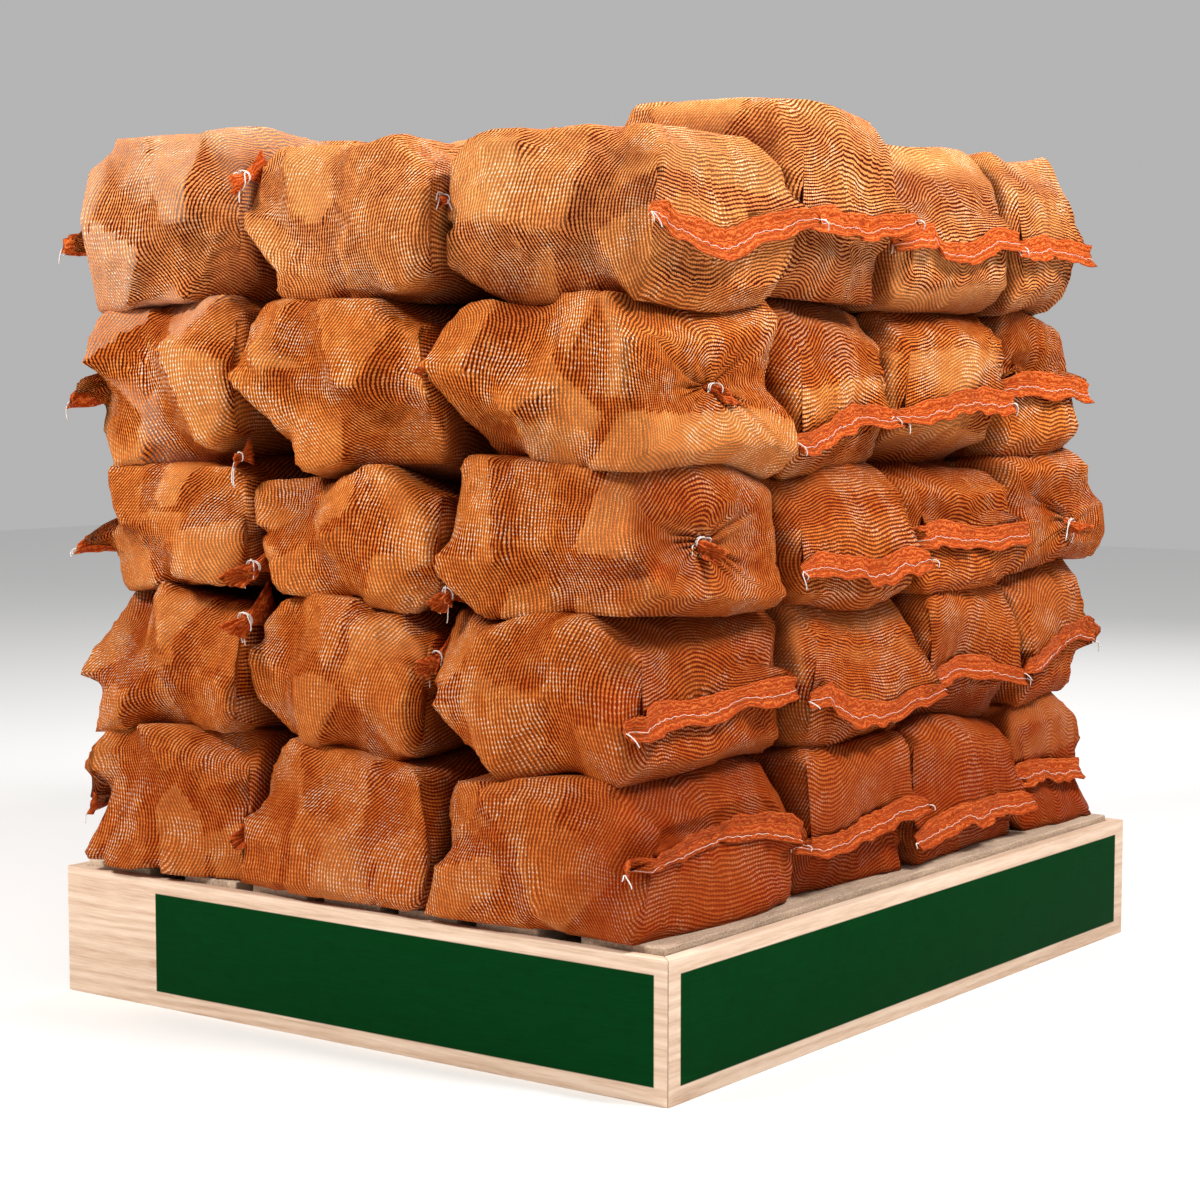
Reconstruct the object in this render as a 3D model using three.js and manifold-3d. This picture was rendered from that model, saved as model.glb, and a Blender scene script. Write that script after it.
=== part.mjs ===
// A pallet of kiln-dried logs: net bags of split logs stacked five tiers high, three across and
// four deep, on a wooden pallet whose sides are boxed in by four pine boards.
// Millimetres, +Z up. The origin is on the ground under the middle of the pallet.
// -Y is the short side, where the log ends show, and +X the long side, where the bag hems show.

import * as THREE from 'three';
import * as BufferGeometryUtils from 'three/addons/utils/BufferGeometryUtils.js';
import Module from 'manifold-3d';

const wasm = await Module();
wasm.setup();

// Driving dimensions.
const palletWidth = 1000;
const palletLength = 1200;
const surroundHeight = 172;
const surroundThickness = 18;
const mitreGap = 0.4;
const palletClearance = 2;
const deckTop = 180;
const boardThickness = 22;
const edgeBoardWidth = 120;
const innerBoardWidth = 95;
const innerBoards = 5;
const crossBoardWidth = 100;
const blockWidth = 100;
const blockLength = 145;
const baseBoardWidth = 100;
const bite = 0.5;

// The stack: the outer faces of each tier, and how its columns and rows share the room between them.
const tierFaces = [
  { left: -452, right: 456, front: -586, back: 580 },
  { left: -490, right: 450, front: -578, back: 588 },
  { left: -486, right: 460, front: -572, back: 590 },
  { left: -490, right: 450, front: -580, back: 588 },
  { left: -484, right: 458, front: -586, back: 552 },
];
const columnShares = [0, 0.305, 0.655, 1];
const rowShares = [0, 0.285, 0.54, 0.795, 1];
const columnPitch = 314;
const rowPitch = 290;
const edgeWander = 11;
const tierFloors = [deckTop, 362, 552, 722, 926, 1125];
const bagGap = 1.2;
const outerBulge = 9;
const sideSlack = 4;
const endBevel = 16;
const press = 1.26;
const pressAcross = 1.1;
const floorWander = 8;
const floorTilt = 0.03;

// How much higher than the lowest each bag of the top tier ends, by column and row.
const topSteps = [[25, 35, 40, 40], [3, 25, 35, 40], [0, 50, 30, 35]];

// The logs in a bag.
const lowerLogs = 4;
const upperLogs = 3;
const seedWander = 0.17;
const logGap = 4;
const logShift = 13;
const logSkew = 0.07;
const seedLevel = 0.5;
const netOffset = 2;

// The ends of the logs: their scatter, how they fall away from the middle of a bag, and the share of
// all this, and of the outer split faces, that is left where a bag meets the next one or the deck.
const endProud = 12;
const endWander = 50;
const endSlope = 0.5;
const endDome = { x: 0.1, z: 0.34 };
const endDrop = { x: 3, z: 14 };
const tuckedShare = 0.22;
const settledShare = 0.3;

// The section of a bundle of logs, as shares of its half size, and the outer split faces of its logs.
const cutAcross = 0.46;
const cutUp = 0.6;
const cutWander = 0.18;
const cutDepths = {
  lowest: [1, 1, 0.5, 0.5],
  left: [0.95, 0.95, 0.85, 0.85],
  other: [0.95, 0.95, 1.35, 0.85],
};
const lean = 0.16;
const settledLean = 0.25;
const faceTilt = 0.42;
const faceDepth = 0.2;
const middleCut = 0.26;

// The net round a bag.
const pointsOnSide = 3;
const ringPlaces = [0.94, 0.5, 0, -0.5, -0.94];
const coreShare = { x: 0.7, y: 0.4 };
const hemLevels = [-0.5, -0.2, 0.2, 0.5];
const tensionRounds = 14;
const hemHeight = 24;
const hemSpan = 0.9;
const hemProud = 5;
const earReach = 14;
const mouthRadius = 13;
const mouthProud = 20;
const mouthSpread = 0.3;

// Bags that show a tied mouth, not a hem, on the outer face of their column: tier, column, row.
const mouthsOutward = [
  '3 2 0', '2 2 0', '2 2 3', '0 0 1', '1 0 0', '2 0 2', '3 0 3', '4 0 1', '4 0 3', '0 0 3',
];

const colours = {
  net: 0xb9622b,
  shadedNet: 0xa5552a,
  pine: 0xf0cfb0,
  weatheredWood: 0xa58a6c,
};

function vec(x, y, z) {
  return new THREE.Vector3(x, y, z);
}

// Repeatable scatter between -1 and 1, for one trait of one bag.
function vary(bag, trait) {
  const phase = bag.tier * 12.9898 + bag.column * 78.233 + bag.row * 37.719 + trait * 4.5811;
  const wave = Math.sin(phase) * 43758.5453;
  return 2 * (wave - Math.floor(wave)) - 1;
}

// Whether a stack of bags stands in the middle, with others on every side.
function isMiddle(column, row) {
  return column > 0 && column < columnShares.length - 2 && row > 0 && row < rowShares.length - 2;
}

// The planes between the columns (axis 0) or the rows (axis 1) of one tier.
function tierEdges(tier, axis) {
  const { left, right, front, back } = tierFaces[tier];
  const [low, high, shares] = axis === 0 ? [left, right, columnShares] : [front, back, rowShares];
  return shares.map((share, index) => {
    const inner = share > 0 && share < 1;
    const wander = inner ? edgeWander * vary({ tier, column: index, row: 7 * axis }, 0) : 0;
    return low + share * (high - low) + wander;
  });
}

// The sloping plane between a bag and the one below it, as height and slopes about the middle of its stack.
function bagFloor(tier, column, row) {
  const place = { tier, column, row };
  const middle = {
    x: (column - (columnShares.length - 2) / 2) * columnPitch,
    y: (row - (rowShares.length - 2) / 2) * rowPitch,
  };
  if (tier === 0 || (tier < tierFloors.length - 1 && isMiddle(column, row))) {
    return { ...middle, height: tierFloors[tier], slopeX: 0, slopeY: 0 };
  }
  if (tier === tierFloors.length - 1) {
    return { ...middle, height: tierFloors[tier] + topSteps[column][row], slopeX: 0, slopeY: 0 };
  }
  return {
    ...middle,
    height: tierFloors[tier] + floorWander * vary(place, 1),
    slopeX: floorTilt * vary(place, 2),
    slopeY: floorTilt * vary(place, 3),
  };
}

// How far a bag may reach on one side: up to its neighbour's plane, or a bulge beyond the stack's face.
function reach(bag, edges, index, side, trait) {
  const outside = side > 0 ? index === edges.length - 2 : index === 0;
  const edge = edges[index + (side > 0 ? 1 : 0)];
  if (outside) {
    return edge + side * outerBulge * vary(bag, trait);
  }
  return edge - side * (bagGap / 2 + sideSlack * (0.5 + 0.5 * vary(bag, trait)));
}

// The planes that hold a bag in its place, each as an outward normal and its distance.
function placePlanes(bag) {
  const floor = bagFloor(bag.tier, bag.column, bag.row);
  const roof = bagFloor(bag.tier + 1, bag.column, bag.row);
  const limits = {
    right: reach(bag, tierEdges(bag.tier, 0), bag.column, 1, 4),
    left: reach(bag, tierEdges(bag.tier, 0), bag.column, -1, 5),
    back: reach(bag, tierEdges(bag.tier, 1), bag.row, 1, 6),
    front: reach(bag, tierEdges(bag.tier, 1), bag.row, -1, 7),
  };
  const planes = [
    { normal: vec(1, 0, 0), distance: limits.right },
    { normal: vec(-1, 0, 0), distance: -limits.left },
    { normal: vec(0, 1, 0), distance: limits.back },
    { normal: vec(0, -1, 0), distance: -limits.front },
    {
      normal: vec(-roof.slopeX, -roof.slopeY, 1),
      distance: roof.height - bagGap / 2 - roof.slopeX * roof.x - roof.slopeY * roof.y,
    },
    {
      normal: vec(floor.slopeX, floor.slopeY, -1),
      distance: -floor.height - bagGap / 2 + floor.slopeX * floor.x + floor.slopeY * floor.y,
    },
  ];
  const highest = vec(limits.right, limits.back, roof.height);
  const lowest = vec(limits.left, limits.front, floor.height);
  const box = {
    centre: highest.clone().add(lowest).divideScalar(2),
    half: highest.clone().sub(lowest).divideScalar(2),
  };
  [[1, 1], [1, -1], [-1, 1], [-1, -1]].forEach(([end, level]) => {
    const corner = box.centre.clone().add(vec(0, end * box.half.y, level * box.half.z));
    const normal = vec(0, end, level);
    planes.push({ normal, distance: normal.dot(corner) - endBevel });
  });
  return { planes, box };
}

// Cuts a convex outline, a list of [x, z], by the line along * point = distance.
function cutOutline(outline, along, distance) {
  const kept = [];
  outline.forEach((point, index) => {
    const next = outline[(index + 1) % outline.length];
    const here = along[0] * point[0] + along[1] * point[1] - distance;
    const there = along[0] * next[0] + along[1] * next[1] - distance;
    if (here <= 0) {
      kept.push(point);
    }
    if (here * there < 0) {
      const share = here / (here - there);
      kept.push([point[0] + share * (next[0] - point[0]), point[1] + share * (next[1] - point[1])]);
    }
  });
  return kept;
}

// Whether a bag is pressed against the next column on one side.
function meetsColumn(bag, side) {
  return side > 0 ? bag.column < columnShares.length - 2 : bag.column > 0;
}

// The section of a bag's bundle, a list of [x, z]: four corners, each cut by its own amount, and all
// rolled over a little in the bag's place.
function bundleSection(bag, { x, z }) {
  const upperDepths = bag.column > 0 ? cutDepths.other : cutDepths.left;
  const cuts = (bag.tier === 0 ? cutDepths.lowest : upperDepths).map((depth, corner) => ({
    x: x * depth * (cutAcross + cutWander * vary(bag, 180 + 2 * corner)),
    z: z * depth * (cutUp + cutWander * vary(bag, 181 + 2 * corner)),
  }));
  const roll = lean * vary(bag, 250) * (bag.tier === 0 ? settledLean : 1);
  const rolled = [
    [x, cuts[3].z - z], [x, z - cuts[0].z], [x - cuts[0].x, z], [cuts[1].x - x, z],
    [-x, z - cuts[1].z], [-x, cuts[2].z - z], [cuts[2].x - x, -z], [x - cuts[3].x, -z],
  ].map(([u, v]) => [u * Math.cos(roll) - v * Math.sin(roll), u * Math.sin(roll) + v * Math.cos(roll)]);
  const sides = [[1, 0, x], [-1, 0, x], [0, 1, z], [0, -1, z]];
  const section = sides.reduce((outline, [u, v, limit]) => cutOutline(outline, [u, v], limit), rolled);
  return section.map(([u, v]) => [meetsColumn(bag, u) ? pressAcross * u : u, v]);
}

// The split logs of a bag: the section of its bundle shared out round one seed a log. Each log is a
// list of planes, seen from the middle of the bag.
function splitLogs(bag, half) {
  const section = bundleSection(bag, half);
  const seeds = [];
  const below = vary(bag, 12) > 0 ? lowerLogs : upperLogs;
  const above = lowerLogs + upperLogs - below;
  [[below, -seedLevel], [above, seedLevel]].forEach(([count, level]) => {
    for (let place = 0; place < count; place += 1) {
      const trait = 20 + seeds.length;
      seeds.push([
        half.x * ((2 * place + 1) / count - 1 + seedWander * vary(bag, trait)),
        half.z * (level + 2 * seedWander * vary(bag, trait + 10)),
      ]);
    }
  });
  return seeds.map((seed, index) => {
    let outline = section;
    seeds.forEach((other) => {
      if (other !== seed) {
        const along = [other[0] - seed[0], other[1] - seed[1]];
        const size = Math.hypot(...along);
        const unit = [along[0] / size, along[1] / size];
        const halfway = unit[0] * (seed[0] + other[0]) / 2 + unit[1] * (seed[1] + other[1]) / 2;
        outline = cutOutline(outline, unit, halfway - logGap / 2);
      }
    });
    const skew = [logSkew * vary(bag, 40 + index), logSkew * vary(bag, 50 + index)];
    const shift = logShift * vary(bag, 60 + index);
    const away = vec(Math.sign(seed[0]) * shift, 0, Math.sign(seed[1]) * shift);
    const sides = outline.map((point, corner) => {
      const next = outline[(corner + 1) % outline.length];
      const size = Math.hypot(next[0] - point[0], next[1] - point[1]);
      const flat = [(next[1] - point[1]) / size, -(next[0] - point[0]) / size];
      const normal = vec(flat[0], -flat[0] * skew[0] - flat[1] * skew[1], flat[1]);
      return { normal, distance: flat[0] * point[0] + flat[1] * point[1] + normal.dot(away) };
    });
    const splitFaces = [0, 1].map((axis) => {
      const outward = Math.sign(seed[axis]);
      const left = axis === 0 && meetsColumn(bag, outward) ? tuckedShare : 1;
      const tilt = left * faceTilt * vary(bag, 190 + 2 * index + axis);
      const edge = Math.max(...outline.map((point) => outward * point[axis]));
      const depth = 1 - left * faceDepth * Math.abs(vary(bag, 210 + 2 * index + axis));
      const normal = axis === 0 ? vec(outward, skew[0], tilt) : vec(tilt, skew[1], outward);
      return { normal, distance: edge * depth + tilt * seed[1 - axis] + normal.dot(away) };
    });
    const share = { x: seed[0] / half.x, z: bag.tier > 0 ? seed[1] / half.z : Math.max(0, seed[1] / half.z) };
    const ends = [-1, 1].map((side, end) => {
      const isOuter = bag.row === (side > 0 ? rowShares.length - 2 : 0);
      const settled = bag.tier > 0 || seed[1] > 0 ? 1 : settledShare;
      const loose = isOuter ? settled : tuckedShare;
      const slopeX = loose * (endSlope * vary(bag, 70 + 2 * index + end) + endDome.x * share.x);
      const slopeZ = loose * (endSlope * vary(bag, 90 + 2 * index + end) + endDome.z * share.z);
      const wander = endWander * (0.5 + 0.5 * vary(bag, 110 + 2 * index + end));
      const drop = endDrop.x * share.x ** 2 + endDrop.z * share.z ** 2;
      const length = half.y + (isOuter ? endProud : 0) - loose * (wander + drop);
      return { normal: vec(slopeX, side, slopeZ), distance: length + slopeX * seed[0] + slopeZ * seed[1] };
    });
    return [...sides, ...splitFaces, ...ends];
  });
}

// Where a ray leaves a convex body, or 0 where it misses it.
function leaves(planes, from, along) {
  let enter = 0;
  let leave = Infinity;
  planes.forEach(({ normal, distance }) => {
    const speed = normal.dot(along);
    const gap = distance - normal.dot(from);
    if (speed > 0) {
      leave = Math.min(leave, gap / speed);
    } else if (speed < 0) {
      enter = Math.max(enter, gap / speed);
    } else if (gap < 0) {
      leave = 0;
    }
  });
  return enter < leave ? leave : 0;
}

// The points of one loop of the net round a bag, each from -1 to 1 along Y and Z.
function loopPoints() {
  const points = [];
  for (let step = 0; step < pointsOnSide; step += 1) {
    points.push([1, -1 + 2 * step / pointsOnSide]);
  }
  for (let step = 0; step < pointsOnSide; step += 1) {
    points.push([1 - 2 * step / pointsOnSide, 1]);
  }
  return [...points, ...points.map(([y, z]) => [-y, -z])];
}

// The closing loop of the net on one end: a flat sewn hem with two ears, or a small gathered mouth.
function closingLoop(bag, logs, half, side, planes) {
  const isOuter = side > 0 ? bag.column === columnShares.length - 2 : bag.column === 0;
  const isMouth = isOuter
    ? mouthsOutward.includes(`${bag.tier} ${bag.column} ${bag.row}`)
    : side < 0;
  const levels = hemLevels.map((share) => vec(0, 0, share * half.z));
  const face = Math.max(...levels.flatMap((from) => logs.map((log) => leaves(log, from, vec(side, 0, 0)))));
  return loopPoints().map(([y, z]) => {
    const point = vec(side * (face + hemProud), y * hemSpan * half.y, z * hemHeight / 2);
    if (isMouth) {
      point.set(side * (face + (isOuter ? mouthProud : 0)), y * mouthRadius, z * mouthRadius);
      point.y += mouthSpread * half.y * vary(bag, 8);
      point.z += mouthSpread * half.z * vary(bag, 9);
    } else if (isOuter && Math.abs(y) === 1) {
      point.x += side * earReach / 2;
      point.y += y * earReach;
    }
    const share = Math.min(1, leaves(planes, vec(0, 0, 0), point));
    return point.multiplyScalar(share);
  });
}

// One net bag, pulled tight over its logs and pressed flat against its neighbours.
function bagGeometry(bag) {
  const { planes, box } = placePlanes(bag);
  const ownPlanes = planes.map(({ normal, distance }) => (
    { normal, distance: distance - normal.dot(box.centre) }
  ));
  const margin = vec(netOffset + hemProud, netOffset, netOffset);
  const bundle = box.half.clone().multiply(vec(1, 1, press)).sub(margin);
  const logs = splitLogs(bag, bundle);
  const loop = loopPoints();
  const rings = ringPlaces.map((place) => loop.map(([y, z]) => {
    const aim = vec(place * box.half.x, y * box.half.y, z * box.half.z);
    const from = vec(aim.x * coreShare.x, aim.y * coreShare.y, 0);
    const along = aim.clone().sub(from).normalize();
    const log = Math.max(...logs.map((planesOfLog) => leaves(planesOfLog, from, along)));
    return { from, along, held: log + netOffset, most: leaves(ownPlanes, from, along), out: log + netOffset };
  }));
  const first = closingLoop(bag, logs, box.half, 1, ownPlanes);
  const last = closingLoop(bag, logs, box.half, -1, ownPlanes);
  const at = (ray) => ray.from.clone().addScaledVector(ray.along, ray.out);
  for (let round = 0; round < tensionRounds; round += 1) {
    const points = [first, ...rings.map((ring) => ring.map(at)), last];
    rings.forEach((ring, index) => ring.forEach((ray, step) => {
      const mean = points[index][step].clone()
        .add(points[index + 2][step])
        .add(points[index + 1][(step + 1) % loop.length])
        .add(points[index + 1][(step + loop.length - 1) % loop.length])
        .divideScalar(4);
      const pulled = mean.sub(ray.from).dot(ray.along);
      ray.out = Math.min(ray.most, Math.max(ray.held, pulled));
    }));
  }
  const loops = [first, ...rings.map((ring) => ring.map(at)), last];
  return closedLoft(loops.map((points) => points.map((point) => point.add(box.centre))));
}

// A closed body through a list of loops with equal numbers of points, each end closed round its middle.
function closedLoft(loops) {
  const size = loops[0].length;
  const middle = (points) => points.reduce((sum, point) => sum.add(point), vec(0, 0, 0)).divideScalar(size);
  const corners = [...loops.flat(), middle(loops[0]), middle(loops[loops.length - 1])];
  const lastStart = (loops.length - 1) * size;
  const firstMiddle = loops.length * size;
  const faces = [];
  for (let step = 0; step < size; step += 1) {
    const next = (step + 1) % size;
    for (let start = 0; start < lastStart; start += size) {
      const a = start + step;
      const b = start + next;
      faces.push(a, a + size, b, b, a + size, b + size);
    }
    faces.push(firstMiddle, step, next);
    faces.push(firstMiddle + 1, lastStart + next, lastStart + step);
  }
  const geometry = new THREE.BufferGeometry();
  const places = corners.flatMap((point) => [point.x, point.y, point.z]);
  geometry.setAttribute('position', new THREE.Float32BufferAttribute(places, 3));
  geometry.setIndex(faces);
  return geometry;
}

// A closed geometry as a solid for joining.
function solidOf(geometry) {
  const bare = geometry.clone();
  bare.deleteAttribute('normal');
  bare.deleteAttribute('uv');
  const merged = BufferGeometryUtils.mergeVertices(bare);
  return new wasm.Manifold(new wasm.Mesh({
    numProp: 3,
    vertProperties: merged.attributes.position.array,
    triVerts: new Uint32Array(merged.index.array),
  }));
}

// The geometry of several overlapping closed geometries joined.
function joined(geometries) {
  const [first, ...others] = geometries.map(solidOf);
  const mesh = others.reduce((whole, part) => whole.add(part), first).getMesh();
  const geometry = new THREE.BufferGeometry();
  geometry.setAttribute('position', new THREE.BufferAttribute(new Float32Array(mesh.vertProperties), 3));
  geometry.setIndex(new THREE.BufferAttribute(new Uint32Array(mesh.triVerts), 1));
  return geometry;
}

function piece(name, geometry, colour, roughness) {
  const material = new THREE.MeshStandardMaterial({ color: colour, roughness, metalness: 0 });
  const mesh = new THREE.Mesh(geometry, material);
  mesh.name = name;
  return mesh;
}

function block(width, length, height, x, y, floor) {
  return new THREE.BoxGeometry(width, length, height).translate(x, y, floor + height / 2);
}

// The eight bags in the middle of the lower four tiers, which no side shows: cut-cornered bundles
// pressed into one another.
function middleBags() {
  const bundles = [];
  for (let tier = 0; tier < tierFloors.length - 2; tier += 1) {
    const [, left, right] = tierEdges(tier, 0).map((edge, index) => edge + (index === 1 ? 1 : -1) * bagGap);
    const rows = tierEdges(tier, 1);
    const low = tierFloors[tier] + (tier === 0 ? bagGap : -bite);
    const high = tierFloors[tier + 1] - (tier === tierFloors.length - 3 ? bagGap : 0);
    const cut = middleCut * (high - low) / 2;
    const outline = new THREE.Shape([
      new THREE.Vector2(right, low + cut), new THREE.Vector2(right, high - cut),
      new THREE.Vector2(right - cut, high), new THREE.Vector2(left + cut, high),
      new THREE.Vector2(left, high - cut), new THREE.Vector2(left, low + cut),
      new THREE.Vector2(left + cut, low), new THREE.Vector2(right - cut, low),
    ]);
    [1, 2].forEach((row) => {
      const front = rows[row] + (row === 1 ? bagGap : -bite);
      const back = rows[row + 1] - (row === 2 ? bagGap : 0);
      const bundle = new THREE.ExtrudeGeometry(outline, { depth: back - front, bevelEnabled: false });
      bundles.push(bundle.rotateX(Math.PI / 2).translate(0, back, 0));
    });
  }
  return piece('middle_bags', joined(bundles), colours.shadedNet, 0.9);
}

// One board of the surround: its ends are mitred, and it stands along the X axis at the -Y side.
function mitredBoard(length) {
  const half = length / 2 - mitreGap;
  const outline = new THREE.Shape([
    new THREE.Vector2(-half, 0), new THREE.Vector2(half, 0),
    new THREE.Vector2(half - surroundThickness, surroundThickness),
    new THREE.Vector2(-half + surroundThickness, surroundThickness),
  ]);
  return new THREE.ExtrudeGeometry(outline, { depth: surroundHeight, bevelEnabled: false });
}

function surround() {
  const sides = [
    ['surround_front', palletWidth, palletLength / 2, 0],
    ['surround_right', palletLength, palletWidth / 2, Math.PI / 2],
    ['surround_back', palletWidth, palletLength / 2, Math.PI],
    ['surround_left', palletLength, palletWidth / 2, -Math.PI / 2],
  ];
  return sides.map(([name, length, offset, turn]) => {
    const board = piece(name, mitredBoard(length).translate(0, -offset, 0), colours.pine, 0.6);
    board.rotation.z = turn;
    return board;
  });
}

// The pallet inside the surround: its deck, seven boards nailed on three cross boards.
function palletDeck() {
  const width = palletWidth - 2 * (surroundThickness + palletClearance);
  const length = palletLength - 2 * (surroundThickness + palletClearance);
  const boardFloor = deckTop - boardThickness;
  const edgeOffset = (width - edgeBoardWidth) / 2;
  const pitch = (width - edgeBoardWidth - innerBoardWidth) / (innerBoards + 1);
  const boards = [-edgeOffset, edgeOffset].map((x) => (
    block(edgeBoardWidth, length, boardThickness, x, 0, boardFloor)
  ));
  for (let place = 0; place < innerBoards; place += 1) {
    const x = (place - (innerBoards - 1) / 2) * pitch;
    boards.push(block(innerBoardWidth, length, boardThickness, x, 0, boardFloor));
  }
  const crossFloor = boardFloor - boardThickness;
  const crossOffset = (length - crossBoardWidth) / 2;
  [-crossOffset, 0, crossOffset].forEach((y) => {
    boards.push(block(width, crossBoardWidth, boardThickness + bite, 0, y, crossFloor));
  });
  return piece('pallet_deck', joined(boards), colours.weatheredWood, 0.85);
}

// The nine blocks of the pallet, on three long base boards and two that cross them at the ends.
function palletBase() {
  const width = palletWidth - 2 * (surroundThickness + palletClearance);
  const length = palletLength - 2 * (surroundThickness + palletClearance);
  const blockTop = deckTop - 2 * boardThickness - mitreGap;
  const sideOffset = (width - blockWidth) / 2;
  const endOffset = (length - blockLength) / 2;
  const parts = [-sideOffset, 0, sideOffset].flatMap((x) => [
    block(baseBoardWidth, length, boardThickness, x, 0, 0),
    ...[-endOffset, 0, endOffset].map((y) => (
      block(blockWidth - bite, blockLength, blockTop - boardThickness + bite, x, y, boardThickness - bite)
    )),
  ]);
  const crossOffset = (length - baseBoardWidth - bite) / 2;
  [-crossOffset, crossOffset].forEach((y) => {
    parts.push(block(width - bite, baseBoardWidth, boardThickness - bite, 0, y, 0));
  });
  return piece('pallet_base', joined(parts), colours.weatheredWood, 0.9);
}

const stack = new THREE.Group();
stack.add(...surround(), palletDeck(), palletBase(), middleBags());
const topTier = tierFloors.length - 2;
for (let tier = 0; tier <= topTier; tier += 1) {
  for (let column = 0; column < columnShares.length - 1; column += 1) {
    for (let row = 0; row < rowShares.length - 1; row += 1) {
      if (tier === topTier || !isMiddle(column, row)) {
        const name = `log_bag_tier${tier + 1}_col${column + 1}_row${row + 1}`;
        stack.add(piece(name, bagGeometry({ tier, column, row }), colours.net, 0.85));
      }
    }
  }
}

export default stack;
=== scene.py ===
# A pallet of kiln-dried oak logs: net bags of split logs, five tiers high, three across and four
# deep, on a wooden pallet boxed in by four pine boards. Metres, +Z up.
# -Y is the short side, where the log ends show, and +X the long side, where the bag hems show.
import math
import bpy
import numpy as np
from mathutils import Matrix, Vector
from mathutils.bvhtree import BVHTree


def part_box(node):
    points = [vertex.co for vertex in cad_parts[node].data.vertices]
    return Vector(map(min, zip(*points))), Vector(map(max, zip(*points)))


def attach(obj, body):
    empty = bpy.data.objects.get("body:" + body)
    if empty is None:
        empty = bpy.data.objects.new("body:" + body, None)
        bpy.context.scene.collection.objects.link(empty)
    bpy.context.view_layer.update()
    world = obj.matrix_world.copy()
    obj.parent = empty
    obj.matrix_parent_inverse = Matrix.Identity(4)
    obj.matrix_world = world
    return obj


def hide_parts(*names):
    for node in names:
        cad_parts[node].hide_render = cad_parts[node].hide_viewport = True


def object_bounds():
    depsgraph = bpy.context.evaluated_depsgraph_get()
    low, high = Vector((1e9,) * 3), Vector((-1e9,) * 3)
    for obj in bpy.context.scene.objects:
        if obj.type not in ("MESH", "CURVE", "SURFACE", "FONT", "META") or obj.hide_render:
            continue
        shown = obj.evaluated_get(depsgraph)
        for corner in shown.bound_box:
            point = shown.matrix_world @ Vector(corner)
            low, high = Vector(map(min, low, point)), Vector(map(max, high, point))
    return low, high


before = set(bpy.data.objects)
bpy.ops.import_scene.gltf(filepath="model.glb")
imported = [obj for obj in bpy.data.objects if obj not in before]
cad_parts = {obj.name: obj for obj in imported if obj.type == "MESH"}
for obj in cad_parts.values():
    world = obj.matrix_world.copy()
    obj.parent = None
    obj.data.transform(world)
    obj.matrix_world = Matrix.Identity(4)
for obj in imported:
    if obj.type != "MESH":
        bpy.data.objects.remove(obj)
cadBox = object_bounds()


# Shader maths: a Wire is a socket that adds, subtracts and multiplies.
class Wire:
    def __init__(self, paint, socket):
        self.paint = paint
        self.socket = socket

    def __add__(self, other):
        return self.paint.maths("ADD", self, other)

    def __sub__(self, other):
        return self.paint.maths("SUBTRACT", self, other)

    def __rsub__(self, other):
        return self.paint.maths("SUBTRACT", other, self)

    def __mul__(self, other):
        return self.paint.maths("MULTIPLY", self, other)

    __radd__ = __add__
    __rmul__ = __mul__


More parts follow.
